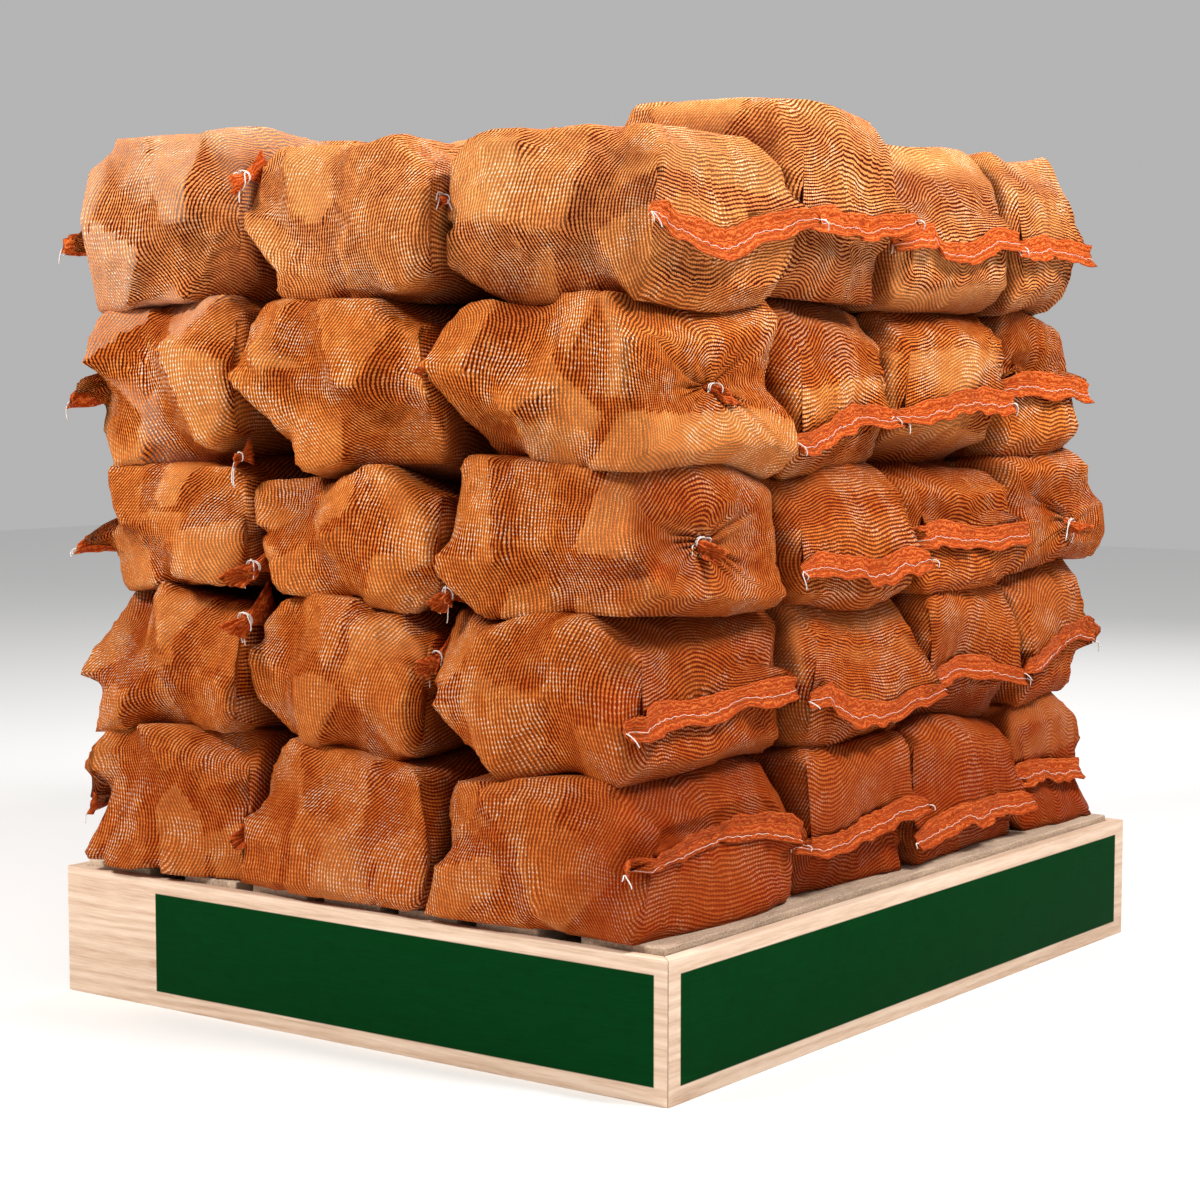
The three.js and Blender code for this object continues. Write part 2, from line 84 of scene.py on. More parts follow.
# A Paint is one material. Its methods add nodes and give back Wires.
class Paint:
    def __init__(self, name):
        self.material = bpy.data.materials.new(name)
        self.material.use_nodes = True
        self.tree = self.material.node_tree
        self.tree.nodes.clear()

    def node(self, kind, settings, values=(), output=0):
        made = self.tree.nodes.new(kind)
        for name, value in settings.items():
            if name == "stops":
                self.setStops(made.color_ramp, value)
            else:
                setattr(made, name, value)
        pairs = values.items() if isinstance(values, dict) else enumerate(values)
        for name, value in pairs:
            if isinstance(value, Wire):
                self.tree.links.new(value.socket, made.inputs[name])
            else:
                made.inputs[name].default_value = value
        return Wire(self, made.outputs[output]) if len(made.outputs) else None

    def setStops(self, ramp, stops):
        while len(ramp.elements) > 1:
            ramp.elements.remove(ramp.elements[-1])
        for index, (place, colour) in enumerate(stops):
            element = ramp.elements[0] if index == 0 else ramp.elements.new(place)
            element.position = place
            element.color = (*colour, 1)

    def maths(self, operation, *values):
        return self.node("ShaderNodeMath", {"operation": operation}, values)

    def wave(self, operation, turns):
        return self.maths(operation, turns * math.tau)

    def ramp(self, factor, stops):
        return self.node("ShaderNodeValToRGB", {"stops": stops}, [factor])

    def blend(self, factor, under, over):
        # a Mix node has its colours in sockets 6 and 7, and the mixed one in output 2
        under, over = [(*c, 1) if isinstance(c, tuple) else c for c in (under, over)]
        return self.node("ShaderNodeMix", {"data_type": "RGBA"}, {0: factor, 6: under, 7: over}, 2)

    def step(self, value, low, high):
        settings = {"interpolation_type": "SMOOTHSTEP"}
        return self.node("ShaderNodeMapRange", settings, {0: value, 1: low, 2: high, 3: 0.0, 4: 1.0})

    def noise(self, place, scale, detail=2.0, roughness=0.5):
        values = {"Vector": place, "Scale": scale, "Detail": detail, "Roughness": roughness}
        return self.node("ShaderNodeTexNoise", {}, values)

    def stretched(self, place, scale):
        return self.node("ShaderNodeMapping", {}, {"Vector": place, "Scale": scale})

    def split(self, vector):
        parts = self.node("ShaderNodeSeparateXYZ", {}, [vector]).socket.node.outputs
        return [Wire(self, part) for part in parts]

    def place(self):
        return self.node("ShaderNodeTexCoord", {}, output="Object")

    def netPlace(self):
        # cross threads round the bag and ribs along it, as counted on the mesh
        return self.split(self.node("ShaderNodeUVMap", {"uv_map": "net"}))

    def attribute(self, name, output="Fac"):
        return self.node("ShaderNodeAttribute", {"attribute_name": name}, output=output)

    def finish(self, colour, roughness, height=None, depth=0.0, specular=0.5):
        values = {"Base Color": colour, "Roughness": roughness, "Specular IOR Level": specular}
        if height is not None:
            relief = {"Strength": 1.0, "Distance": depth, "Height": height}
            values["Normal"] = self.node("ShaderNodeBump", {}, relief)
        surface = self.node("ShaderNodeBsdfPrincipled", {}, values)
        self.node("ShaderNodeOutputMaterial", {}, {"Surface": surface})
        return self.material


# Net over logs: orange ribs along the rings of the bag, with what lies behind them between.
netLook = {
    "rib": 0.0050,  # from one rib to the next
    "ribTerms": 6,  # how closely the ribs follow the shape round a bag
    "ribWander": 0.003,
    "crossThreads": 190,  # round a bag
    "cover": 0.22,  # how much of the pitch a rib covers, from -1 to 1
    # thread colours from dark to pale; the palest stop is a painted highlight, for the glints
    "threads": [
        (0.15, (0.37, 0.044, 0.002)),
        (0.40, (0.78, 0.190, 0.018)),
        (0.62, (1.0, 0.42, 0.105)),
        (0.86, (1.0, 0.87, 0.73)),
    ],
    "overPale": (0.98, 0.43, 0.14),  # threads on pale logs, on dark ones and on bleached ones
    "overDark": (0.46, 0.060, 0.004),
    "overBleached": (0.90, 0.47, 0.30),
    "shadow": (0.050, 0.0035, 0.0003),  # between threads where no log is near
    "hangingShade": (0.22, 0.022, 0.001),  # painted shade on net that hangs away from the logs
    "low": (0.22, 0.017, 0.0006),  # painted shade near the pallet, painted light on the top tier and painted shade in the seams
    "high": (1.0, 0.60, 0.27),
    "deep": (0.13, 0.010, 0.0006),
    "relief": 0.0016,
    "specular": 0.05,
}


def netPaint():
    # the mesh says, in centimetres, how far the net is from a log and how deep it lies in the stack
    paint = Paint("orange_net")
    across, along, _ = paint.netPlace()
    place = paint.place()
    rightward, _, height = paint.split(place)
    slack = paint.attribute("slack")
    deep = paint.attribute("deep")
    wood = paint.attribute("wood", "Color")
    red, _, blue = paint.split(wood)

    swirl = paint.noise(place, 24.0) - 0.5
    jitter = paint.noise(place, 260.0, 1.0) - 0.5
    rib = paint.wave("COSINE", along + swirl * 0.9 + jitter * 0.4)
    bead = paint.wave("COSINE", across + swirl * 1.5 + jitter * 0.5)
    patch = paint.noise(place, 30.0, 3.0, 0.6)
    thickness = paint.noise(place, 75.0, 2.0, 0.6)
    covered = rib + bead * 0.3 + (thickness - 0.5) * 1.3
    thread = paint.step(covered, -0.45 - netLook["cover"], 0.5 - netLook["cover"])
    # shine and glint are painted highlights: pale glints on the threads, in patches of painted sheen, lift
    # the thread colour; glint also makes them smoother and raises the bump
    shine = paint.step(paint.noise(place, 16.0), 0.42, 0.66)
    glint = paint.step(rib * 0.55 + bead * 0.38 + jitter * 1.8, 0.35, 1.05)
    tone = patch * 0.5 + thickness * 0.25 + shine * 0.08 + glint * (shine * 0.35 + 0.2)
    tint = paint.ramp(tone, netLook["threads"])

    # the logs behind, and what they do to the threads that touch them
    grain = paint.noise(paint.stretched(place, (40.0, 6.0, 40.0)), 9.0, 3.0)
    touching = 1 - paint.step(slack, 0.05, 1.0)
    pale = red * touching
    bleached = paint.step(blue, 0.10, 0.60) * touching
    behind = paint.blend(touching * 0.5, netLook["shadow"], wood)
    behind = paint.blend(paint.step(grain, 0.4, 0.75) * 0.35, behind, netLook["shadow"])
    tint = paint.blend(pale * (grain * 0.3 + 0.08), tint, netLook["overPale"])
    tint = paint.blend((1 - pale) * 0.20, tint, netLook["overDark"])
    tint = paint.blend(bleached * paint.step(patch, 0.30, 0.75) * 0.34, tint, netLook["overBleached"])
    body = paint.blend(thread * 0.94, behind, tint)
    # painted shade: net that hangs away from the logs is darker
    body = paint.blend(paint.step(slack, 0.1, 3.2) * 0.22, body, netLook["hangingShade"])

    # painted shade: darker towards the pallet, more so low on the right side, and in the seams; painted
    # light: lighter threads on the top tier
    lower = 1 - paint.step(height, 0.1, 1.0)
    lowest = 1 - paint.step(height, 0.28, 0.45)
    middle = (1 - paint.step(height, 0.68, 0.80)) - lowest
    right = paint.step(rightward, 0.30, 0.42)
    dark = lower * 0.44 + lowest * right * 0.34 + middle * right * 0.16
    body = paint.blend(dark, body, netLook["low"])
    body = paint.blend(paint.step(height, 0.90, 0.98) * thread * 0.16, body, netLook["high"])
    body = paint.blend(paint.step(deep, 1.2, 6.0) * 0.62, body, netLook["deep"])
    roughness = 0.78 - thread * 0.2 - glint * 0.12
    relief = thread * 0.75 + glint * 0.25
    return paint.finish(body, roughness, relief, netLook["relief"], netLook["specular"])


# Hem and mouth: the same net folded many times over.
hemLook = {
    "threads": [
        (0.22, (0.16, 0.014, 0.001)),
        (0.42, (0.42, 0.054, 0.005)),
        (0.62, (0.62, 0.112, 0.014)),
        (0.86, (0.86, 0.31, 0.09)),
    ],
    "lines": 13,  # lines of thread round the section of the band
    "worn": (0.30, 0.046, 0.006),
    # painted shade towards the pallet
    "low": (0.24, 0.020, 0.0010),
    "relief": 0.0013,
    "specular": 0.08,
}


def hemPaint():
    paint = Paint("folded_net")
    place = paint.place()
    across, _, _ = paint.netPlace()
    weave = paint.noise(place, 420.0, 2.0, 0.7)
    folds = paint.noise(place, 95.0, 3.0, 0.6)
    line = paint.wave("SINE", across * hemLook["lines"] + folds * 2.6) * 0.5 + 0.5
    tint = paint.ramp(weave * 0.45 + folds * 0.25 + line * 0.34, hemLook["threads"])
    worn = paint.step(paint.noise(place, 21.0, 3.0, 0.6), 0.40, 0.72)
    tint = paint.blend(worn * 0.42, tint, hemLook["worn"])
    # painted shade: the hem is darker towards the pallet
    lower = 1 - paint.step(paint.split(place)[2], 0.1, 1.0)
    tint = paint.blend(lower * 0.36, tint, hemLook["low"])
    relief = weave * 0.4 + line * 0.6
    return paint.finish(tint, 0.76 - weave * 0.2, relief, hemLook["relief"], hemLook["specular"])


def stringPaint():
    paint = Paint("white_string")
    fuzz = paint.noise(paint.place(), 900.0)
    colour = paint.ramp(fuzz, [(0.3, (0.55, 0.47, 0.42)), (0.6, (0.90, 0.86, 0.82))])
    return paint.finish(colour, 0.8 - fuzz * 0.15, fuzz, 0.0004)


netCloth = netPaint()
foldedNet = hemPaint()
whiteString = stringPaint()
print("materials of the bags are ready")


# The stack, in the places of the frame's solids: the same planes, logs and scatter.
stack = {
    "tierFaces": [  # left, right, front and back of each tier
        (-0.452, 0.456, -0.586, 0.580),
        (-0.490, 0.450, -0.578, 0.588),
        (-0.486, 0.460, -0.572, 0.590),
        (-0.490, 0.450, -0.580, 0.588),
        (-0.484, 0.458, -0.586, 0.552),
    ],
    "columnShares": (0, 0.305, 0.655, 1),
    "rowShares": (0, 0.285, 0.54, 0.795, 1),
    "columnPitch": 0.314,
    "rowPitch": 0.290,
    "edgeWander": 0.011,
    "tierFloors": (0.180, 0.362, 0.552, 0.722, 0.926, 1.125),
    "bagGap": 0.0012,
    "outerBulge": 0.009,
    "sideSlack": 0.004,
    "endBevel": 0.016,
    "press": 1.26,  # how much higher than its room a bundle is laid
    "pressAcross": 1.1,  # and how much wider on the sides that meet a column
    "floorWander": 0.008,
    "floorTilt": 0.03,
    # how much higher than the lowest each bag of the top tier ends, by column and row
    "topSteps": ((0.025, 0.035, 0.040, 0.040), (0.003, 0.025, 0.035, 0.040), (0.0, 0.050, 0.030, 0.035)),
}
columns = len(stack["columnShares"]) - 1
rows = len(stack["rowShares"]) - 1
tiers = len(stack["tierFaces"])

# what varies from bag to bag: the first number that each trait draws its scatter by
traits = {
    "edge": 0, "floor": 1, "reach": 4, "mouth": 8, "layers": 12, "seedAcross": 20, "seedUp": 30,
    "skewAcross": 40, "skewUp": 50, "shift": 60, "slopeAcross": 70, "slopeUp": 90, "ear": 95,
    "hemSide": 96, "mouthTurn": 98, "peekTurn": 99, "length": 110, "tone": 130, "bark": 140,
    "endTone": 150, "tail": 160, "tailLength": 170, "cut": 180, "faceTilt": 190, "faceDepth": 210,
    "rightHem": 230, "leftHem": 240, "lean": 250, "bleach": 260,
}


def vary(bag, trait, number=0):
    # repeatable scatter between -1 and 1
    turn = bag[0] * 12.9898 + bag[1] * 78.233 + bag[2] * 37.719 + (traits[trait] + number) * 4.5811
    wave = math.sin(turn) * 43758.5453
    return 2 * (wave - math.floor(wave)) - 1


def bagSeed(bag, series):
    # a seed of its own for each bag, in one series of draws
    return series + 100 * bag[0] + 10 * bag[1] + bag[2]


def isMiddle(column, row):
    return 0 < column < columns - 1 and 0 < row < rows - 1


def meetsColumn(bag, side):
    return bag[1] < columns - 1 if side > 0 else bag[1] > 0


def tierEdges(tier, axis):
    low, high = stack["tierFaces"][tier][2 * axis:2 * axis + 2]
    shares = stack["columnShares"] if axis == 0 else stack["rowShares"]
    edges = []
    for index, share in enumerate(shares):
        wander = stack["edgeWander"] * vary((tier, index, 7 * axis), "edge") if 0 < share < 1 else 0
        edges.append(low + share * (high - low) + wander)
    return edges


def bagFloor(tier, column, row):
    # the plane between a bag and the one below it: x, y, height and the two slopes
    place = (tier, column, row)
    x = (column - (columns - 1) / 2) * stack["columnPitch"]
    y = (row - (rows - 1) / 2) * stack["rowPitch"]
    height = stack["tierFloors"][tier]
    if tier == 0 or (tier < tiers and isMiddle(column, row)):
        return x, y, height, 0, 0
    if tier == tiers:
        return x, y, height + stack["topSteps"][column][row], 0, 0
    height += stack["floorWander"] * vary(place, "floor")
    slopes = [stack["floorTilt"] * vary(place, "floor", number) for number in (1, 2)]
    return x, y, height, *slopes


def reach(bag, axis, side):
    # how far a bag reaches along one axis: to the face of its tier or to its neighbour
    edges = tierEdges(bag[0], axis)
    index = bag[1 + axis]
    edge = edges[index + (1 if side > 0 else 0)]
    scatter = vary(bag, "reach", 2 * axis + (0 if side > 0 else 1))
    if index == (len(edges) - 2 if side > 0 else 0):
        return edge + side * stack["outerBulge"] * scatter
    return edge - side * (stack["bagGap"] / 2 + stack["sideSlack"] * (0.5 + 0.5 * scatter))


def placePlanes(bag):
    # the planes that hold a bag, about its own middle, then that middle and its half size
    tier, column, row = bag
    fx, fy, floor, floorX, floorY = bagFloor(tier, column, row)
    rx, ry, roof, roofX, roofY = bagFloor(tier + 1, column, row)
    right, left, back, front = [reach(bag, axis, side) for axis in (0, 1) for side in (1, -1)]
    gap = stack["bagGap"] / 2
    centre = np.array([right + left, back + front, roof + floor]) / 2
    half = np.array([right - left, back - front, roof - floor]) / 2
    planes = [
        ((1, 0, 0), right), ((-1, 0, 0), -left), ((0, 1, 0), back), ((0, -1, 0), -front),
        ((-roofX, -roofY, 1), roof - gap - roofX * rx - roofY * ry),
        ((floorX, floorY, -1), -floor - gap + floorX * fx + floorY * fy),
    ]
    for end, level in ((1, 1), (1, -1), (-1, 1), (-1, -1)):
        corner = centre + (0, end * half[1], level * half[2])
        planes.append(((0, end, level), corner @ (0, end, level) - stack["endBevel"]))
    normals = np.array([normal for normal, _ in planes], float)
    distances = np.array([distance for _, distance in planes]) - normals @ centre
    return normals, distances, centre, half


# The split logs in each bag, four and three in two layers, lying along Y.
logs = {
    "lower": 4,
    "upper": 3,
    "seedWander": 0.17,
    "gap": 0.004,
    "shift": 0.013,
    "skew": 0.07,
    "endWander": 0.050,
    "endSlope": 0.50,
    "dome": (0.10, 0.34),  # how far the ends of the outer logs turn away, across and in height
    "domeDrop": (0.003, 0.014),  # how much shorter the outer logs are
    "tucked": 0.22,  # how much of all that is left where a bag meets the next one
    "cutAcross": 0.46,  # how much the corners of a bag are cut, across and in height
    "cutUp": 0.60,
    "cutWander": 0.18,
    # how much of that each corner takes, from the upper right one round: the lowest bags sag onto
    # the deck, the others leave a gap below, on the left, but for those of the first column
    "cornersLowest": (1, 1, 0.5, 0.5),
    "cornersFirst": (0.95, 0.95, 0.85, 0.85),
    "corners": (0.95, 0.95, 1.35, 0.85),
    "faceTilt": 0.42,  # the outer split faces, each at its own angle and depth
    "faceDepth": 0.20,
    "chamfer": 0.0015,
    "lean": 0.16,  # how far a bundle is rolled over in its place
    "leanLowest": 0.25,  # how much of that is left on the deck
    "woods": [(0.62, 0.22, 0.048), (0.46, 0.135, 0.024), (0.80, 0.35, 0.11), (0.30, 0.075, 0.012)],
    "bleached": [(0.80, 0.56, 0.44), (0.74, 0.50, 0.38), (0.66, 0.44, 0.34)],
    "barks": [(0.14, 0.030, 0.005), (0.24, 0.066, 0.013), (0.42, 0.165, 0.055)],
}


def cutOutline(outline, along, distance):
    kept = []
    for index, point in enumerate(outline):
        following = outline[(index + 1) % len(outline)]
        here = along @ point - distance
        there = along @ following - distance
        if here <= 0:
            kept.append(point)
        if here * there < 0:
            kept.append(point + here / (here - there) * (following - point))
    return kept


def bundleOutline(bag, x, z):
    # the section of all logs together: cut at the corners, rolled over, and kept inside its room
    isLowest = bag[0] == 0
    corners = logs["cornersLowest"] if isLowest else logs["corners"] if bag[1] > 0 else logs["cornersFirst"]
    cuts = [(
        x * share * (logs["cutAcross"] + logs["cutWander"] * vary(bag, "cut", 2 * corner)),
        z * share * (logs["cutUp"] + logs["cutWander"] * vary(bag, "cut", 2 * corner + 1)),
    ) for corner, share in enumerate(corners)]
    section = [np.array(point) for point in (
        (x, cuts[3][1] - z), (x, z - cuts[0][1]), (x - cuts[0][0], z), (cuts[1][0] - x, z),
        (-x, z - cuts[1][1]), (-x, cuts[2][1] - z), (cuts[2][0] - x, -z), (x - cuts[3][0], -z),
    )]
    lean = logs["lean"] * vary(bag, "lean") * (logs["leanLowest"] if isLowest else 1)
    roll = np.array([[math.cos(lean), -math.sin(lean)], [math.sin(lean), math.cos(lean)]])
    section = [roll @ point for point in section]
    for unit in ((1, 0), (-1, 0), (0, 1), (0, -1)):
        section = cutOutline(section, np.array(unit), x if unit[0] else z)
    return [point * (stack["pressAcross"] if meetsColumn(bag, point[0]) else 1, 1) for point in section]


def logSeeds(bag, x, z):
    # a point inside each log
    below = logs["lower"] if vary(bag, "layers") > 0 else logs["upper"]
    above = logs["lower"] + logs["upper"] - below
    seeds = []
    for count, level in ((below, -0.5), (above, 0.5)):
        for place in range(count):
            wanderX = logs["seedWander"] * vary(bag, "seedAcross", len(seeds))
            wanderZ = 2 * logs["seedWander"] * vary(bag, "seedUp", len(seeds))
            seeds.append(np.array([x * ((2 * place + 1) / count - 1 + wanderX), z * (level + wanderZ)]))
    return seeds


def sidePlanes(bag, index, seed, outline):
    # the planes along a log: one for each edge of its outline, then its two outer split faces
    skewX, skewZ = [logs["skew"] * vary(bag, trait, index) for trait in ("skewAcross", "skewUp")]
    shift = logs["shift"] * vary(bag, "shift", index)
    away = np.array([np.sign(seed[0]) * shift, 0, np.sign(seed[1]) * shift])
    normals, distances = [], []
    for corner, point in enumerate(outline):
        run = outline[(corner + 1) % len(outline)] - point
        flat = np.array([run[1], -run[0]]) / np.hypot(*run)
        normals.append([flat[0], -flat[0] * skewX - flat[1] * skewZ, flat[1]])
        distances.append(flat @ point + np.array(normals[-1]) @ away)
    for axis in (0, 1):
        outward = np.sign(seed[axis])
        left = logs["tucked"] if axis == 0 and meetsColumn(bag, outward) else 1
        tilt = left * logs["faceTilt"] * vary(bag, "faceTilt", 2 * index + axis)
        depth = left * logs["faceDepth"] * abs(vary(bag, "faceDepth", 2 * index + axis))
        farthest = max(outward * point[axis] for point in outline) * (1 - depth)
        normals.append([outward, skewX, tilt] if axis == 0 else [tilt, skewZ, outward])
        distances.append(farthest + tilt * seed[1 - axis] + np.array(normals[-1]) @ away)
    return np.array(normals), np.array(distances)


def splitLogs(bag, half):
    # each log as its planes: normals and distances, with the two end planes last
    x, z = half[0], half[2]
    section = bundleOutline(bag, x, z)
    seeds = logSeeds(bag, x, z)
    found = []
    for index, seed in enumerate(seeds):
        outline = section
        for other in seeds:
            if other is not seed:
                unit = (other - seed) / np.hypot(*(other - seed))
                outline = cutOutline(outline, unit, unit @ (seed + other) / 2 - logs["gap"] / 2)
        normals, distances = sidePlanes(bag, index, seed, outline)
        sizes = np.linalg.norm(normals, axis=1)
        flats, flatDistances = normals / sizes[:, None], distances / sizes
        shares = seed / (x, z)
        if bag[0] == 0:
            shares[1] = max(0, shares[1])
        rounded, roundedDistances = [], []
        for corner in range(len(outline)):
            following = (corner + 1) % len(outline)
            rounded.append(flats[corner] + flats[following])
            both = flatDistances[corner] + flatDistances[following]
            roundedDistances.append(both - logs["chamfer"] * 0.5)
        ends, endDistances = [], []
        for end, side in enumerate((-1, 1)):
            isOuter = bag[2] == (rows - 1 if side > 0 else 0)
            loose = (1 if bag[0] > 0 or seed[1] > 0 else 0.3) if isOuter else logs["tucked"]
            slopes = [vary(bag, trait, 2 * index + end) for trait in ("slopeAcross", "slopeUp")]
            slopes = loose * (logs["endSlope"] * np.array(slopes) + np.array(logs["dome"]) * shares)
            scatter = 0.5 + 0.5 * vary(bag, "length", 2 * index + end)
            length = half[1] - loose * logs["endWander"] * scatter
            length += isOuter * net["proud"] - loose * (shares ** 2) @ logs["domeDrop"]
            size = math.hypot(1, *slopes)
            ends.append(np.array([slopes[0], side, slopes[1]]) / size)
            endDistances.append((length + slopes @ seed) / size)
            rounded.extend(flats + ends[-1])
            roundedDistances.extend(flatDistances + endDistances[-1] - logs["chamfer"])
        planes = np.array([*rounded, *normals, *ends])
        found.append((planes, np.array([*roundedDistances, *distances, *endDistances])))
    return found


def leaves(normals, distances, start, along):
    # how far rays go before they leave a convex body, 0 where they miss it, and the plane they leave by
    speed = along @ normals.T
    gap = distances - start @ normals.T
    with np.errstate(divide="ignore", invalid="ignore"):
        reached = gap / speed
    outs = np.where(speed > 1e-12, reached, np.inf)
    ins = np.where(speed < -1e-12, reached, 0)
    leave, enter = outs.min(-1), ins.max(-1)
    return np.where(enter < leave, leave, 0), outs.argmin(-1)


# The net of a bag: rings of points from the end at +X to the end at -X, pulled tight over the logs.
net = {
    # points up and along the side of a ring, rings on an end that shows and on one that doesn't, and
    # rings on the body
    "fine": (26, 38, (13, 6), 44),
    "coarse": (8, 12, (4, 3), 14),
    "offset": 0.002,
    "endRoom": 0.005,
    "proud": 0.012,  # how far the outer faces may stand out of the solids
    "pressed": 0.004,  # how deep the bags press into each other
    "give": 0.0025,  # how far a fold may sink below where the net rests
    "rayStart": (0.7, 0.4, 0),  # where a ray to a point starts, as a share of its place
    "rounds": 90,
    "closingRounds": 40,
    "slackMost": 0.04,
    "deepMost": 0.1,
    "hemSpan": 0.97,
    "hemProud": 0.003,
    "earFrom": 0.6,  # where an ear starts, from the middle of the hem to its end
    "earOut": 0.012,
    "earReach": 0.012,
    "earDroop": 0.006,
    "mouthRadius": 0.008,
    "mouthOut": 0.005,
    "mouthIn": 0.004,
    "mouthSpread": 0.3,
    "mouthTip": 0.002,
    "ringPitch": 0.0075,  # for the folds alone
    "pleats": 13,
    "pleatDepth": 0.0045,
    "gathers": 9,
    "gatherDepth": 0.003,
    "crumple": 0.0009,
    "creases": 0.0030,
}
# bags of bleached logs
bleachedBags = {(4, 0, 0), (3, 0, 0)}
# bags that show a tied mouth on the outer face of their column: tier, column, row
mouthsOutward = {
    (0, 0, 1), (0, 0, 3), (1, 0, 0), (2, 0, 2), (2, 2, 0),
    (2, 2, 3), (3, 0, 3), (3, 2, 0), (4, 0, 1), (4, 0, 3),
}


def loopPoints(up, along):
    right = [(1, -1 + 2 * step / up) for step in range(up)]
    top = [(1 - 2 * step / along, 1) for step in range(along)]
    return np.array(right + top + [(-y, -z) for y, z in right + top], float)


def hemIndex(up, along):
    # the top and the bottom of a flat hem share their points: one number for each place along it
    bottom = [along - step for step in range(along)]
    return np.array([0] * up + list(range(along)) + [along] * up + bottom)


def hemOrder(up, along):
    # the first point of the loop at each of those places
    index = hemIndex(up, along)
    return np.array([int(np.flatnonzero(index == place)[0]) for place in range(along + 1)])


def ripple(around, length, seed, finest, coarsest, waves=9):
    # smooth relief between about -1 and 1: sines of whole turns around a bag and any length along it
    scatter = np.random.default_rng(seed)
    total = 0
    for _ in range(waves):
        number = 1 / scatter.uniform(finest, coarsest)
        turn = scatter.uniform(0, math.tau)
        turns = round(number * math.cos(turn))
        run = turns * around + number * math.sin(turn) * length
        total = total + np.sin(math.tau * run + scatter.uniform(0, math.tau))
    return total / math.sqrt(waves)


def folds(around, length, seed, families=4):
    # patches of parallel folds, each family with its own direction and spacing
    total = 0
    for family in range(families):
        scatter = np.random.default_rng(seed * 10 + family)
        number = 1 / scatter.uniform(0.030, 0.060)
        turn = scatter.uniform(0, math.tau)
        bend = 1.6 * ripple(around, length, seed * 20 + family, 0.15, 0.5, 4)
        run = 2 * round(number * math.cos(turn) / 2) * around + number * math.sin(turn) * length
        wave = np.sin(math.pi * run + bend)
        patch = np.clip(ripple(around, length, seed * 30 + family, 0.10, 0.3, 4) + 0.1, 0, 1)
        total = total + patch * ((1 - np.abs(wave)) ** 2 - 0.25)
    return total


def endShape(bag, side):
    outer = bag[1] == (columns - 1 if side > 0 else 0)
    mouth = bag in mouthsOutward if outer else side < 0
    return outer, mouth


def hemHeights(bag, side, half, share):
    # the wavy height of a hem, by its share along Y from -1 to 1
    scatter = [vary(bag, "rightHem" if side > 0 else "leftHem", number) for number in range(6)]
    level = half[2] * (0.34 * scatter[0] - 0.24)
    tilt = 0.014 * scatter[5] * share
    wave = 0.013 * np.sin(share * (2.2 + 0.8 * scatter[1]) + 3 * scatter[2])
    return level + tilt + wave + 0.0025 * np.sin(share * (8 + 3 * scatter[3]) + 3 * scatter[4])


def castRays(aim, bundle, normals, distances):
    # along each ray: how far the logs hold the net, how far its room goes, and what is hit
    start = aim * net["rayStart"]
    along = (aim - start) / np.linalg.norm(aim - start, axis=-1, keepdims=True)
    hits = [leaves(*log, start, along) for log in bundle]
    held = np.array([hit[0] for hit in hits])
    most, _ = leaves(normals, distances, start, along)
    log = held.argmax(0)
    planes = np.take_along_axis(np.array([hit[1] for hit in hits]), log[None], 0)[0]
    counts = np.array([len(one[1]) for one in bundle])[log]
    return start, along, held.max(0), most, log, planes >= counts - 2


def relaxed(start, along, out, held, most, first, last, rounds):
    # the net pulled tight: each point moves to the mean of its neighbours, within its limits
    for _ in range(rounds):
        points = start + along * out[..., None]
        mean = np.roll(points, 1, 1) + np.roll(points, -1, 1)
        mean += np.concatenate([first[None], points[:-1]]) + np.concatenate([points[1:], last[None]])
        out = np.minimum(most, np.maximum(held, ((mean / 4 - start) * along).sum(-1)))
    return out


def crossAims(x, cross, half):
    # the points of a ring, from shares of the bag's half size
    return np.stack([np.full(len(cross), x * half[0]), cross[:, 0] * half[1], cross[:, 1] * half[2]], -1)


def closingLoop(bag, side, half, loop, solids):
    # the loop that closes one end, as shares of the bag's half size and as points
    outer, mouth = endShape(bag, side)
    y, z = loop[:, 0], loop[:, 1]
    if mouth:
        # a round neck from the square loop
        wideY, wideZ = net["mouthRadius"] / half[1], net["mouthRadius"] / half[2]
        atY, atZ = [net["mouthSpread"] * vary(bag, "mouth", number) for number in (0, 1)]
        size = np.hypot(y, z)
        low = np.stack([atY + wideY * y / size, atZ + wideZ * z / size], -1)
    else:
        low = np.stack([net["hemSpan"] * y, hemHeights(bag, side, half, y) / half[2]], -1)
    start, along, held, most, _, _ = castRays(crossAims(side, low, half), *solids)
    out = held.copy()
    for _ in range(net["closingRounds"]):
        out = np.maximum(held, (np.roll(out, 1) + np.roll(out, -1)) / 2)
    points = start + along * np.minimum(out, most)[:, None]
    if mouth:
        face = (side * points[:, 0]).max()
        points[:, 0] = side * (face + (net["mouthOut"] if outer else -net["mouthIn"]))
        points[:, 1:] = low * half[1:]
        return low, points
    if outer:
        # the hem keeps the bag's whole width, like a taut line between its two ears
        order = np.argsort(points[:, 1])
        spread = y * net["hemSpan"] * half[1]
        found = [np.interp(spread, points[order, 1], points[order, axis]) for axis in (0, 2)]
        points = np.stack([found[0], spread, found[1]], -1)
    points[:, 0] += side * net["hemProud"] * (1 if outer else -1)
    if outer:
        ear = np.clip((np.abs(y) - net["earFrom"]) / (1 - net["earFrom"]), 0, 1) ** 2
        points[:, 0] += side * net["earOut"] * ear
        points[:, 1] += np.sign(y) * net["earReach"] * ear
        points[:, 2] -= net["earDroop"] * ear * (1 + vary(bag, "ear"))
    return low, points


